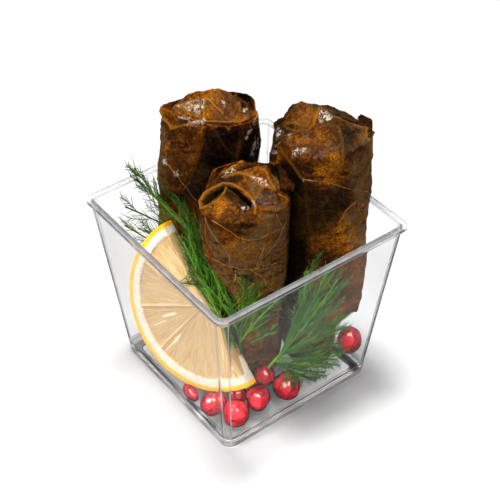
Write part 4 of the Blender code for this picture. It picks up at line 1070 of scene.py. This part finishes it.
# lemon: rings of the half disc drawn in towards a middle point, over its front, rind and back
def makeLemon():
    s = lemon
    face, _, away = sliceAxes()
    arc = np.linspace(-math.pi / 2, math.pi / 2, s["arcSteps"])
    outline = np.column_stack((s["half"] * np.sin(arc), s["depth"] * np.cos(arc)))
    chord = np.linspace(1, -1, s["cutSteps"])[1:-1]
    outline = np.vstack((outline, np.column_stack((s["half"] * chord, np.zeros(len(chord))))))[::-1]
    centre = np.array([0.0, 0.42 * s["depth"]])
    shrink = np.linspace(0.985, 0.014, s["faceRows"])
    turn = np.linspace(0, math.pi, s["rimRows"])
    shrinks = np.concatenate((shrink, 0.012 * (1 - np.sin(turn) ** 0.5), shrink[::-1]))
    depths = s["thick"] * np.concatenate((0 * shrink, (1 - np.cos(turn)) / 2, 0 * shrink + 1))[:, None]
    isFront = np.concatenate((0 * shrink + 1, 0 * turn, 0 * shrink - 1))[:, None]
    flat = centre + (outline - centre)[None] * (1 - shrinks)[:, None, None]
    p, q = flat[..., 0], flat[..., 1]
    fromCore = np.hypot(p / s["half"], q / s["depth"])
    inRind = (1 - fromCore) * s["depth"]
    angle = np.arctan2(q / s["depth"], p / s["half"])
    pulp = smoothStep(inRind, s["rind"] - 0.3 * mm, s["rind"] + 0.5 * mm)
    wedge = np.abs(np.sin(angle * s["segments"] - 0.35))
    wall = np.exp(-(wedge * fromCore * s["half"] / (0.32 * mm * s["segments"])) ** 2)
    core = 1 - smoothStep(fromCore * s["half"], 1.6 * mm, 2.6 * mm)
    membrane = np.maximum(wall * pulp, core)
    depth = depths + isFront * pulp * (1 - membrane) * 0.4 * mm
    tip = s["middle"] + centre[1] * away
    piece = closedPiece("lemon_half_slice", inSlice(p, q, depth), tip, tip - s["thick"] * face)
    addValues(piece, ends=(20, 20), rind=inRind / mm)
    addValues(piece, membrane=membrane)
    polar = np.dstack((angle * 26, fromCore * 5, depth / mm * 0.4)).reshape(-1, 3)
    layer = piece.data.attributes.new("polar", "FLOAT_VECTOR", "POINT")
    layer.data.foreach_set("vector", np.vstack((polar, polar[:1], polar[-1:])).astype(np.float32).ravel())
    piece.data.materials.append(lemonMaterial())
    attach(piece, "root")
    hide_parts("lemon_slice")


# zest, pith and pulp by the distance in from the rind; the pulp is made of radial juice sacs, the palest few
# painted as glints
def lemonMaterial():
    material, tree, shader = newMaterial("lemon_flesh", {
        "Specular IOR Level": 0.25, "Subsurface Weight": 0.15, "Subsurface Radius": (1.0, 0.7, 0.25),
        "Subsurface Scale": 0.0012})
    place, polar = objectPlace(tree), attribute(tree, "polar", "Vector")
    tone = node(tree, "ShaderNodeSeparateColor")
    link(tree, cellsAt(tree, polar, "F1", 1.0, 0.9)["Color"], tone.inputs[0])
    sacEdge = cellsAt(tree, polar, "DISTANCE_TO_EDGE", 1.0, 0.9)["Distance"]
    # painted glints: the few sacs at the top of the ramp are near white
    pulp = ramp(tree, tone.outputs[0], ((0.0, (0.43, 0.26, 0.1)), (0.5, (0.48, 0.31, 0.13)),
                                        (0.94, (0.54, 0.385, 0.185)), (0.965, (0.84, 0.72, 0.5))))
    line = times(tree, fade(tree, sacEdge, 0.0, 0.12, 1, 0), 0.4)
    pulp = blendColour(tree, line, pulp, (0.66, 0.5, 0.29))
    pulp = blendColour(tree, times(tree, attribute(tree, "membrane"), 0.3), pulp, (0.72, 0.54, 0.32))
    pith = ramp(tree, noiseAt(tree, place, 700), ((0.3, (0.64, 0.52, 0.4)), (0.7, (0.81, 0.73, 0.62))))
    pores = noiseAt(tree, place, 1500)
    zest = ramp(tree, pores, ((0.35, (0.8, 0.35, 0.002)), (0.65, (0.93, 0.5, 0.005))))
    uneven = maths(tree, "ADD", attribute(tree, "rind"), times(tree, noiseAt(tree, place, 900, 3), 1.3))
    uneven = times(tree, uneven, 0.1)
    inPith, inPulp = fade(tree, uneven, 0.205, 0.25), fade(tree, uneven, 0.455, 0.5)
    colour = blendColour(tree, inPulp, blendColour(tree, inPith, zest, pith), pulp)
    link(tree, colour, shader.inputs["Base Color"])
    link(tree, blendColour(tree, inPulp, grey(0.5), grey(0.22)), shader.inputs["Roughness"])
    skin = bump(tree, times(tree, sacEdge, inPulp), 0.5, 0.0005)
    link(tree, bump(tree, pores, 0.25, 0.0003, skin), shader.inputs["Normal"])
    return material


# pomegranate seeds

seedGrid = {"cols": 48, "rows": 32}


# a rounded many-sided stone: the p-norm of the directions over eight tilted planes
def seedRadius(directions, draw):
    total = np.zeros(directions.shape[:-1])
    for k in range(8):
        high = 1 - 2 * (k + 0.5) / 8
        turn = 2.4 * k + draw.uniform(-0.3, 0.3)
        side = math.sqrt(1 - high * high)
        normal = np.array([side * math.cos(turn), side * math.sin(turn), high])
        total += np.maximum(directions @ normal, 0) ** 7 / draw.uniform(0.93, 1.04) ** 7
    return np.minimum(total ** (-1 / 7), 1.06)


def makeSeed(middle, halves, turn, number):
    around = np.linspace(0, 2 * math.pi, seedGrid["cols"], endpoint=False)[None, :]
    lift = np.linspace(-math.pi / 2, math.pi / 2, seedGrid["rows"] + 2)[1:-1][:, None]
    grid = np.dstack((np.cos(lift) * np.cos(around), np.cos(lift) * np.sin(around),
                      np.sin(lift) + 0 * around))
    points = np.vstack((grid.reshape(-1, 3), (0, 0, -1), (0, 0, 1)))
    radius = seedRadius(points, random.Random(number)) + 0.01 * ripple(number, points, 0.9) - 0.01
    points = points * np.minimum(radius, 1.06)[:, None] * np.array(halves) * mm
    c, s = math.cos(math.radians(turn)), math.sin(math.radians(turn))
    points = points @ np.array([[c, s, 0], [-s, c, 0], [0, 0, 1]]) + np.array(middle) * mm
    quads, tris = closedFaces(seedGrid["rows"], seedGrid["cols"])
    piece = addPiece(f"pomegranate_{number}", points, quads, tris)
    piece.data.materials.append(seedMaterial())
    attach(piece, "root")
    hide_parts(f"pomegranate_seed_{number}")


# wet red flesh: darker and paler patches at random, painted shade round its outline, and a broad red light and
# two small glints painted where lamps would show (turn, height, size, share, colour)
@cache
def seedMaterial():
    material, tree, shader = newMaterial("pomegranate_flesh", {
        "Roughness": 0.2, "Specular IOR Level": 0.1, "Subsurface Weight": 0.1,
        "Subsurface Radius": (1.0, 0.05, 0.05), "Subsurface Scale": 0.0008, "Coat Weight": 0.3,
        "Coat Roughness": 0.05})
    place = objectPlace(tree)
    colour = ramp(tree, noiseAt(tree, place, 420, 4, 0.65, 1.0), (
        (0.34, (0.06, 0.0, 0.002)), (0.44, (0.28, 0.0, 0.005)), (0.54, (0.46, 0.001, 0.012)),
        (0.66, (0.74, 0.018, 0.035))))
    # painted shade: darker round the outline, where the surface turns away
    rim = node(tree, "ShaderNodeLayerWeight", {"Blend": 0.35}).outputs["Facing"]
    colour = blendColour(tree, fade(tree, rim, 0.25, 0.6, 0, 0.96), colour, (0.06, 0.0, 0.002))
    uneven = maths(tree, "MULTIPLY_ADD", noiseAt(tree, place, 520, 3), 0.08, -0.04)
    normal = node(tree, "ShaderNodeNewGeometry").outputs["Normal"]
    for turn, height, size, share, tone in ((262, 40, 0.09, 0.55, (0.92, 0.03, 0.055)),
                                            (250, 55, 0.01, 0.85, (0.95, 0.66, 0.68)),
                                            (284, 57, 0.005, 0.8, (0.95, 0.7, 0.72))):
        turned = node(tree, "ShaderNodeVectorMath", {1: aroundCup(turn, height, 1.0)}, operation="DOT_PRODUCT")
        link(tree, normal, turned.inputs[0])
        near = maths(tree, "ADD", turned.outputs["Value"], uneven)
        window = fade(tree, near, 1 - 1.3 * size, 1 - 0.7 * size, 0, share)
        colour = blendColour(tree, window, colour, tone)
    link(tree, colour, shader.inputs["Base Color"])
    link(tree, bump(tree, noiseAt(tree, place, 300, 2), 0.4, 0.001), shader.inputs["Coat Normal"])
    link(tree, bump(tree, noiseAt(tree, place, 260, 2), 0.5, 0.0008), shader.inputs["Normal"])
    return material


# dill: fronds in a plane, each a stalk with branches, and threads along every branch; a frond is
# its root and tip in millimetres, its number of branches, their spread and its bend

sprigs = {
    "dill_left": {"number": 9, "fronds": (
        ((9, -3.4), (-27, -5.2), 6, 0.6, 0.1),
        ((-20, -4.7), (-44.5, 7.5), 4, 0.5, -0.3),
        ((-15, -4.4), (-37.5, 15.0), 4, 0.5, -0.2),
        ((-10, -4.0), (-29.5, 14.0), 2, 0.5, -0.2),
        ((-23, -5.0), (-38.5, -6.8), 2, 0.5, 0.1),
        ((-18, -4.8), (-45.5, 4.5), 5, 0.4, 0.2),
        ((-8, -4.0), (-33.0, 18.0), 4, 0.45, 0.2),
        ((-8, -5.0), (-31.0, -8.0), 6, 0.5, 0.1),
        ((0, -5.0), (-20.0, -9.0), 6, 0.5, 0.1),
        ((8, -4.5), (-10.0, -8.0), 5, 0.5, 0.1),
    )},
    "dill_edge": {"number": 21, "fronds": (
        ((15, -1.8), (-19, -2.4), 9, 0.4, 0.05),
        ((4, -2.6), (-20, -5.0), 6, 0.4, 0.1),
        ((14, -2.0), (2, -6.0), 4, 0.5, 0.0),
    )},
    "dill_front": {"number": 8, "fronds": (
        ((-2.2, 22.5), (-5.0, 44.0), 5, 0.75, 0.1),
        ((-2.4, 29), (5.5, 42), 3, 0.6, -0.3),
        ((-2.8, 32), (-11.5, 50), 4, 0.6, 0.3),
        ((-2.6, 27), (-1.0, 51), 6, 0.4, 0.1),
        ((-2.8, 27), (8.0, 44), 6, 0.45, -0.2),
        ((-2.6, 25), (7.5, 33), 4, 0.5, -0.2),
        ((-3.0, 31), (3.0, 49), 5, 0.4, -0.1),
    )},
    "dill_right": {"number": 13, "fronds": (
        ((-12.8, 27.5), (9.5, 50.5), 4, 0.4, 0.35),
        ((-4.5, 31), (13.8, 37.5), 4, 0.45, 0.1),
        ((-7, 29), (17, 18), 3, 0.45, 0.2),
        ((-9.5, 28), (11.5, 8), 3, 0.45, 0.3),
        ((-4.0, 31.5), (1.5, 61.5), 3, 0.4, 0.1),
        ((-9.0, 30), (6.0, 57.0), 7, 0.35, 0.25),
        ((-8.0, 30), (12.2, 45.7), 7, 0.35, 0.15),
        ((-8.0, 30), (15.0, 31.0), 7, 0.35, 0.1),
        ((-8.0, 29), (16.5, 24.8), 7, 0.35, -0.1),
        ((-9.0, 29), (17.0, 12.6), 6, 0.35, 0.2),
        ((-10, 28), (14.0, 9.0), 6, 0.35, 0.1),
        ((-10, 28), (7.6, 7.5), 6, 0.35, 0.3),
        ((-9.0, 31), (-2.0, 58.0), 6, 0.4, 0.2),
        ((-9.0, 30), (3.0, 46.0), 6, 0.4, 0.2),
        ((-9.0, 29), (6.0, 30.0), 6, 0.4, 0.1),
        ((-10, 28), (2.0, 17.0), 5, 0.4, 0.1),
    )},
}
threadRadii = {  # where a thread starts and where it ends
    "stalk": (0.4 * mm, 0.23 * mm), "side": (0.3 * mm, 0.23 * mm),
    "branch": (0.1725 * mm, 0.1035 * mm), "leaf": (0.1196 * mm, 0.0506 * mm),
}
threadTube = {"steps": 6, "sides": 5}


# a line of equal steps from start that turns by curl in all
def bentLine(start, angle, reach, curl, steps):
    turns = angle + curl * (np.arange(steps) + 0.5) / steps
    moves = reach / steps * np.column_stack((np.cos(turns), np.sin(turns)))
    return np.vstack((start, start + np.cumsum(moves, axis=0)))


def placeOn(line, share):
    place = share * (len(line) - 1)
    low = min(int(place), len(line) - 2)
    return line[low] + (line[low + 1] - line[low]) * (place - low)


# a sprig's threads in its plane: line, first and last radius, parent, share along the parent
def frondThreads(sprig, extra):
    draw = random.Random(sprig["number"])
    more = random.Random(sprig["number"] + 100)
    threads = []

    # short threads to both sides of another, from a share of its way on
    def addLeaves(parent, first, heading, bend, reach, taper, turns, sizes, curl):
        for j in range(extra):
            along = first + (1 - first - (0.03 if taper else 0)) * (j + 0.5) / extra
            turn = heading + bend * along + (1 if j % 2 else -1) * more.uniform(*turns)
            size = reach * more.uniform(*sizes) * (1.1 - 0.5 * along if taper else 1)
            leaf = bentLine(placeOn(threads[parent][0], along), turn, size, more.uniform(-curl, curl), 3)
            threads.append((leaf, *threadRadii["leaf"], parent, along))

    for root, tip, branches, spread, bend in sprig["fronds"]:
        span = (np.array(tip) - np.array(root)) * mm
        length = float(np.linalg.norm(span))
        heading = math.atan2(span[1], span[0]) - bend / 2
        stalk = bentLine(np.array(root) * mm, heading, length, bend, 7 if threads else 12)
        own, kind, parent, share = len(threads), "stalk", None, 0.0
        if threads:
            kind, parent = "side", 0
            steps = np.linspace(0, 1, 61)
            gaps = [np.linalg.norm(placeOn(threads[0][0], s) - stalk[0]) for s in steps]
            share = float(steps[int(np.argmin(gaps))])
        threads.append((stalk, *threadRadii[kind], parent, share))
        for k in range(branches):
            share = 0.15 + 0.8 * (k + 0.5) / branches
            side = 1 if k % 2 else -1
            angle = heading + bend * share + side * (spread + draw.uniform(-0.12, 0.12))
            reach = length * (0.5 - 0.32 * share) * draw.uniform(0.85, 1.15)
            branch = bentLine(placeOn(stalk, share), angle, reach, -side * 0.4, 4)
            for _ in range(4):
                draw.uniform(0, 1)  # passed over: the solid sprig's own threads take these four
            threads.append((branch, *threadRadii["branch"], own, share))
            addLeaves(len(threads) - 1, 0.12, angle, -side * 0.4, reach, True, (0.3, 0.75), (0.3, 0.55), 0.5)
        addLeaves(own, 0.3, heading, bend, length, False, (0.25, 0.6), (0.1, 0.2), 0.4)
    return threads


rollTrees = []


# brings a thread forward to where the rolls leave room for it
def clearOfRolls(points):
    face, _, _ = sliceAxes()
    points = points.copy()
    for point in points:
        for _ in range(40):
            where = Vector(point)
            found = [tree.find_nearest(where) for tree in rollTrees]
            if all(d > 0.8 * mm and (where - near).dot(normal) > 0 for near, normal, _, d in found):
                break
            point += 0.3 * mm * face
    return points


# how a sprig's plane lies in the cup: behind the slice, over the slice's cut edge and its front,
# inside the right wall, or facing the front corner
def behindSlice(flat):
    points = inSlice(flat[:, 0], flat[:, 1], lemon["thick"] + 0.95 * mm)
    over = np.maximum(1.4 * mm - points[:, 0] - innerHalf(points[:, 2]), 0)
    return clearOfRolls(points + over[:, None] * np.array([1.0, -0.58, 0.9]))


def overCutEdge(flat):
    q = np.minimum(flat[:, 1], -0.5 * mm)
    depth = 1.2 * mm + 2.4 * mm * smoothStep(-q, 1.0 * mm, 5.0 * mm)
    return clearOfRolls(inSlice(flat[:, 0], q, depth))


def insideRightWall(flat):
    return np.column_stack((innerHalf(flat[:, 1]) - 0.95 * mm, flat[:, 0], flat[:, 1]))


def facingCorner(flat):
    level = np.array([15.6, -10.8]) * mm + flat[:, :1] * across
    return clearOfRolls(np.column_stack((level, flat[:, 1])))


# every thread as a tapering tube, closed by a point at each end
def makeSprig(name, lay, extra):
    lines, radii = [], []
    for flat, first, last, parent, share in frondThreads(sprigs[name], extra):
        line = lay(flat)
        if parent is not None:
            line = line + (placeOn(lines[parent], share) - line[0])
        lines.append(line)
        radii.append(np.linspace(first, last, threadTube["steps"]))
    piece = addTubes(name + "_threads", lines, radii, threadTube["sides"])
    tone = np.random.default_rng(sprigs[name]["number"]).uniform(0, 1, len(lines))
    addValues(piece, ends=(), tone=np.repeat(tone, len(piece.data.vertices) // len(lines)))
    piece.data.materials.append(dillMaterial())
    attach(piece, "root")
    if name != "dill_edge":
        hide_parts(name)


@cache
def dillMaterial():
    material, tree, shader = newMaterial("dill_leaf", {
        "Roughness": 0.5, "Specular IOR Level": 0.2, "Subsurface Weight": 0.15,
        "Subsurface Radius": (0.4, 1.0, 0.2), "Subsurface Scale": 0.0004})
    colour = ramp(tree, attribute(tree, "tone"), ((0.0, (0.006, 0.028, 0.0006)), (0.5, (0.026, 0.1, 0.0015)),
                                                  (0.8, (0.07, 0.2, 0.003)), (1.0, (0.16, 0.36, 0.01))))
    patches = fade(tree, noiseAt(tree, objectPlace(tree), 700), 0.3, 0.7, 0.5, 1.1)
    link(tree, blendColour(tree, 0.5, colour, patches, "MULTIPLY"), shader.inputs["Base Color"])
    return material


# floor, light and camera: a lamp is its name, turn, height, side, power and what it lights; a
# spark or card is its turn, or its turn and height
studio = {
    "floorSide": 6.0, "floorTone": 0.9, "floorInside": 0.5, "floorMirrored": 0.08, "world": 0.09,
    "aim": (0, 0, 0.04),
    "lamps": (("above", 125, 84.5, 0.22, 9.5, "only_floor"), ("key", 126, 77, 0.2, 8.4, "off_floor"),
              ("front_left", 238, 50, 0.6, 6.3, "off_floor"), ("right", 10, 35, 0.3, 1.4, "off_floor")),
    "sparks": ((200, 22), (228, 36), (318, 24), (160, 60), (285, 62), (30, 40), (126, 77)),
    "cards": (0, 90, 180, 270), "lampFar": 0.9, "sparkFar": 0.8, "cardFar": 1.2,
}


# pale, and darker for rays that come by way of clear plastic or a mirroring surface: that gives
# the cup's walls their grey edges
def makeFloor():
    half = studio["floorSide"] / 2
    points = np.array([(-half, -half, 0), (half, -half, 0), (half, half, 0), (-half, half, 0)])
    piece = addPiece("studio_floor", points, [(0, 1, 2, 3)], [])
    material, tree, shader = newMaterial("studio_floor", {"Roughness": 0.9, "Specular IOR Level": 0.1})
    rays = node(tree, "ShaderNodeLightPath").outputs
    through = maths(tree, "SUBTRACT", 1.0, rays["Is Transmission Ray"])
    mirrored = times(tree, rays["Is Glossy Ray"], through)
    inside = maths(tree, "GREATER_THAN", rays["Glossy Depth"], 0.5)
    kind = maths(tree, "MULTIPLY_ADD", inside, 0.5, times(tree, mirrored, 0.5))
    tone = ramp(tree, kind, ((0.2, grey(studio["floorTone"])), (0.45, grey(studio["floorInside"])),
                             (0.55, grey(studio["floorInside"])), (0.8, grey(studio["floorMirrored"]))))
    link(tree, tone, shader.inputs["Base Color"])
    piece.data.materials.append(material)


# a place by its compass turn from the view's right, its height angle and its distance
def aroundCup(turn, height, distance):
    turn, height = math.radians(turn), math.radians(height)
    flat = math.cos(turn) * across + math.sin(turn) * deep
    return Vector((flat[0] * math.cos(height), flat[1] * math.cos(height), math.sin(height))) * distance


def addLamp(name, place, side, power, *unseenBy):
    lamp = bpy.data.lights.new(name, "AREA")
    lamp.size = side
    lamp.energy = power
    item = bpy.data.objects.new(name, lamp)
    item.location = place
    item.rotation_euler = (Vector(studio["aim"]) - place).to_track_quat("-Z", "Y").to_euler()
    for kind in unseenBy:
        setattr(item, "visible_" + kind, False)
    bpy.context.scene.collection.objects.link(item)
    return item


# one lamp for the floor alone, which gives the soft shadow, and others for all but the floor;
# sparks show only on wet and clear surfaces, and cards only through clear plastic
def makeLight():
    world = bpy.data.worlds.new("studio")
    bpy.context.scene.world = world
    world.use_nodes = True
    background = world.node_tree.nodes["Background"]
    background.inputs["Color"].default_value = (1, 1, 1, 1)
    background.inputs["Strength"].default_value = studio["world"]
    bpy.context.scene.view_settings.view_transform = "Standard"
    lit = {}
    for name in ("only_floor", "off_floor"):
        lit[name] = bpy.data.collections.new(name)
        lit[name].objects.link(bpy.data.objects["studio_floor"])
    lit["off_floor"].collection_objects[0].light_linking.link_state = "EXCLUDE"
    for name, turn, height, side, power, lights in studio["lamps"]:
        lamp = addLamp(name, aroundCup(turn, height, studio["lampFar"]), side, power, "glossy")
        lamp.light_linking.receiver_collection = lit[lights]
    for turn, height in studio["sparks"]:
        addLamp(f"spark_{turn}", aroundCup(turn, height, studio["sparkFar"]), 0.07, 2.5, "diffuse")
    for turn in studio["cards"]:
        addLamp(f"card_{turn}", aroundCup(turn, 30, studio["cardFar"]), 1.4, 4.5, "diffuse", "glossy", "camera")


def makeCamera():
    data = bpy.data.cameras.new("camera")
    data.sensor_width = view["sensor"]
    data.lens = view["lens"]
    item = bpy.data.objects.new("camera", data)
    item.location = Vector(viewEye)
    aim = Vector(viewAim + view["shift"] * sideways)
    item.rotation_euler = (aim - item.location).to_track_quat("-Z", "Y").to_euler()
    bpy.context.scene.collection.objects.link(item)
    bpy.context.scene.camera = item


makeCamera()
makeFloor()
makeLight()
print("camera, floor and light are set")
makeCup()
print("cup made")
depsgraph = bpy.context.evaluated_depsgraph_get()
for rollName in rolls:
    makeRoll(rollName)
    rollTrees.append(BVHTree.FromObject(bpy.data.objects[rollName], depsgraph))
for rollName in loose:
    makeLoose(rollName)
for rollName in rolls:
    makeVeins(rollName)
print("rolls made")
makeLemon()
for seed in seeds:
    makeSeed(*seed)
print("lemon and seeds made")
makeSprig("dill_left", behindSlice, 10)
makeSprig("dill_edge", overCutEdge, 10)
makeSprig("dill_front", facingCorner, 7)
makeSprig("dill_right", insideRightWall, 11)
print("dill made")
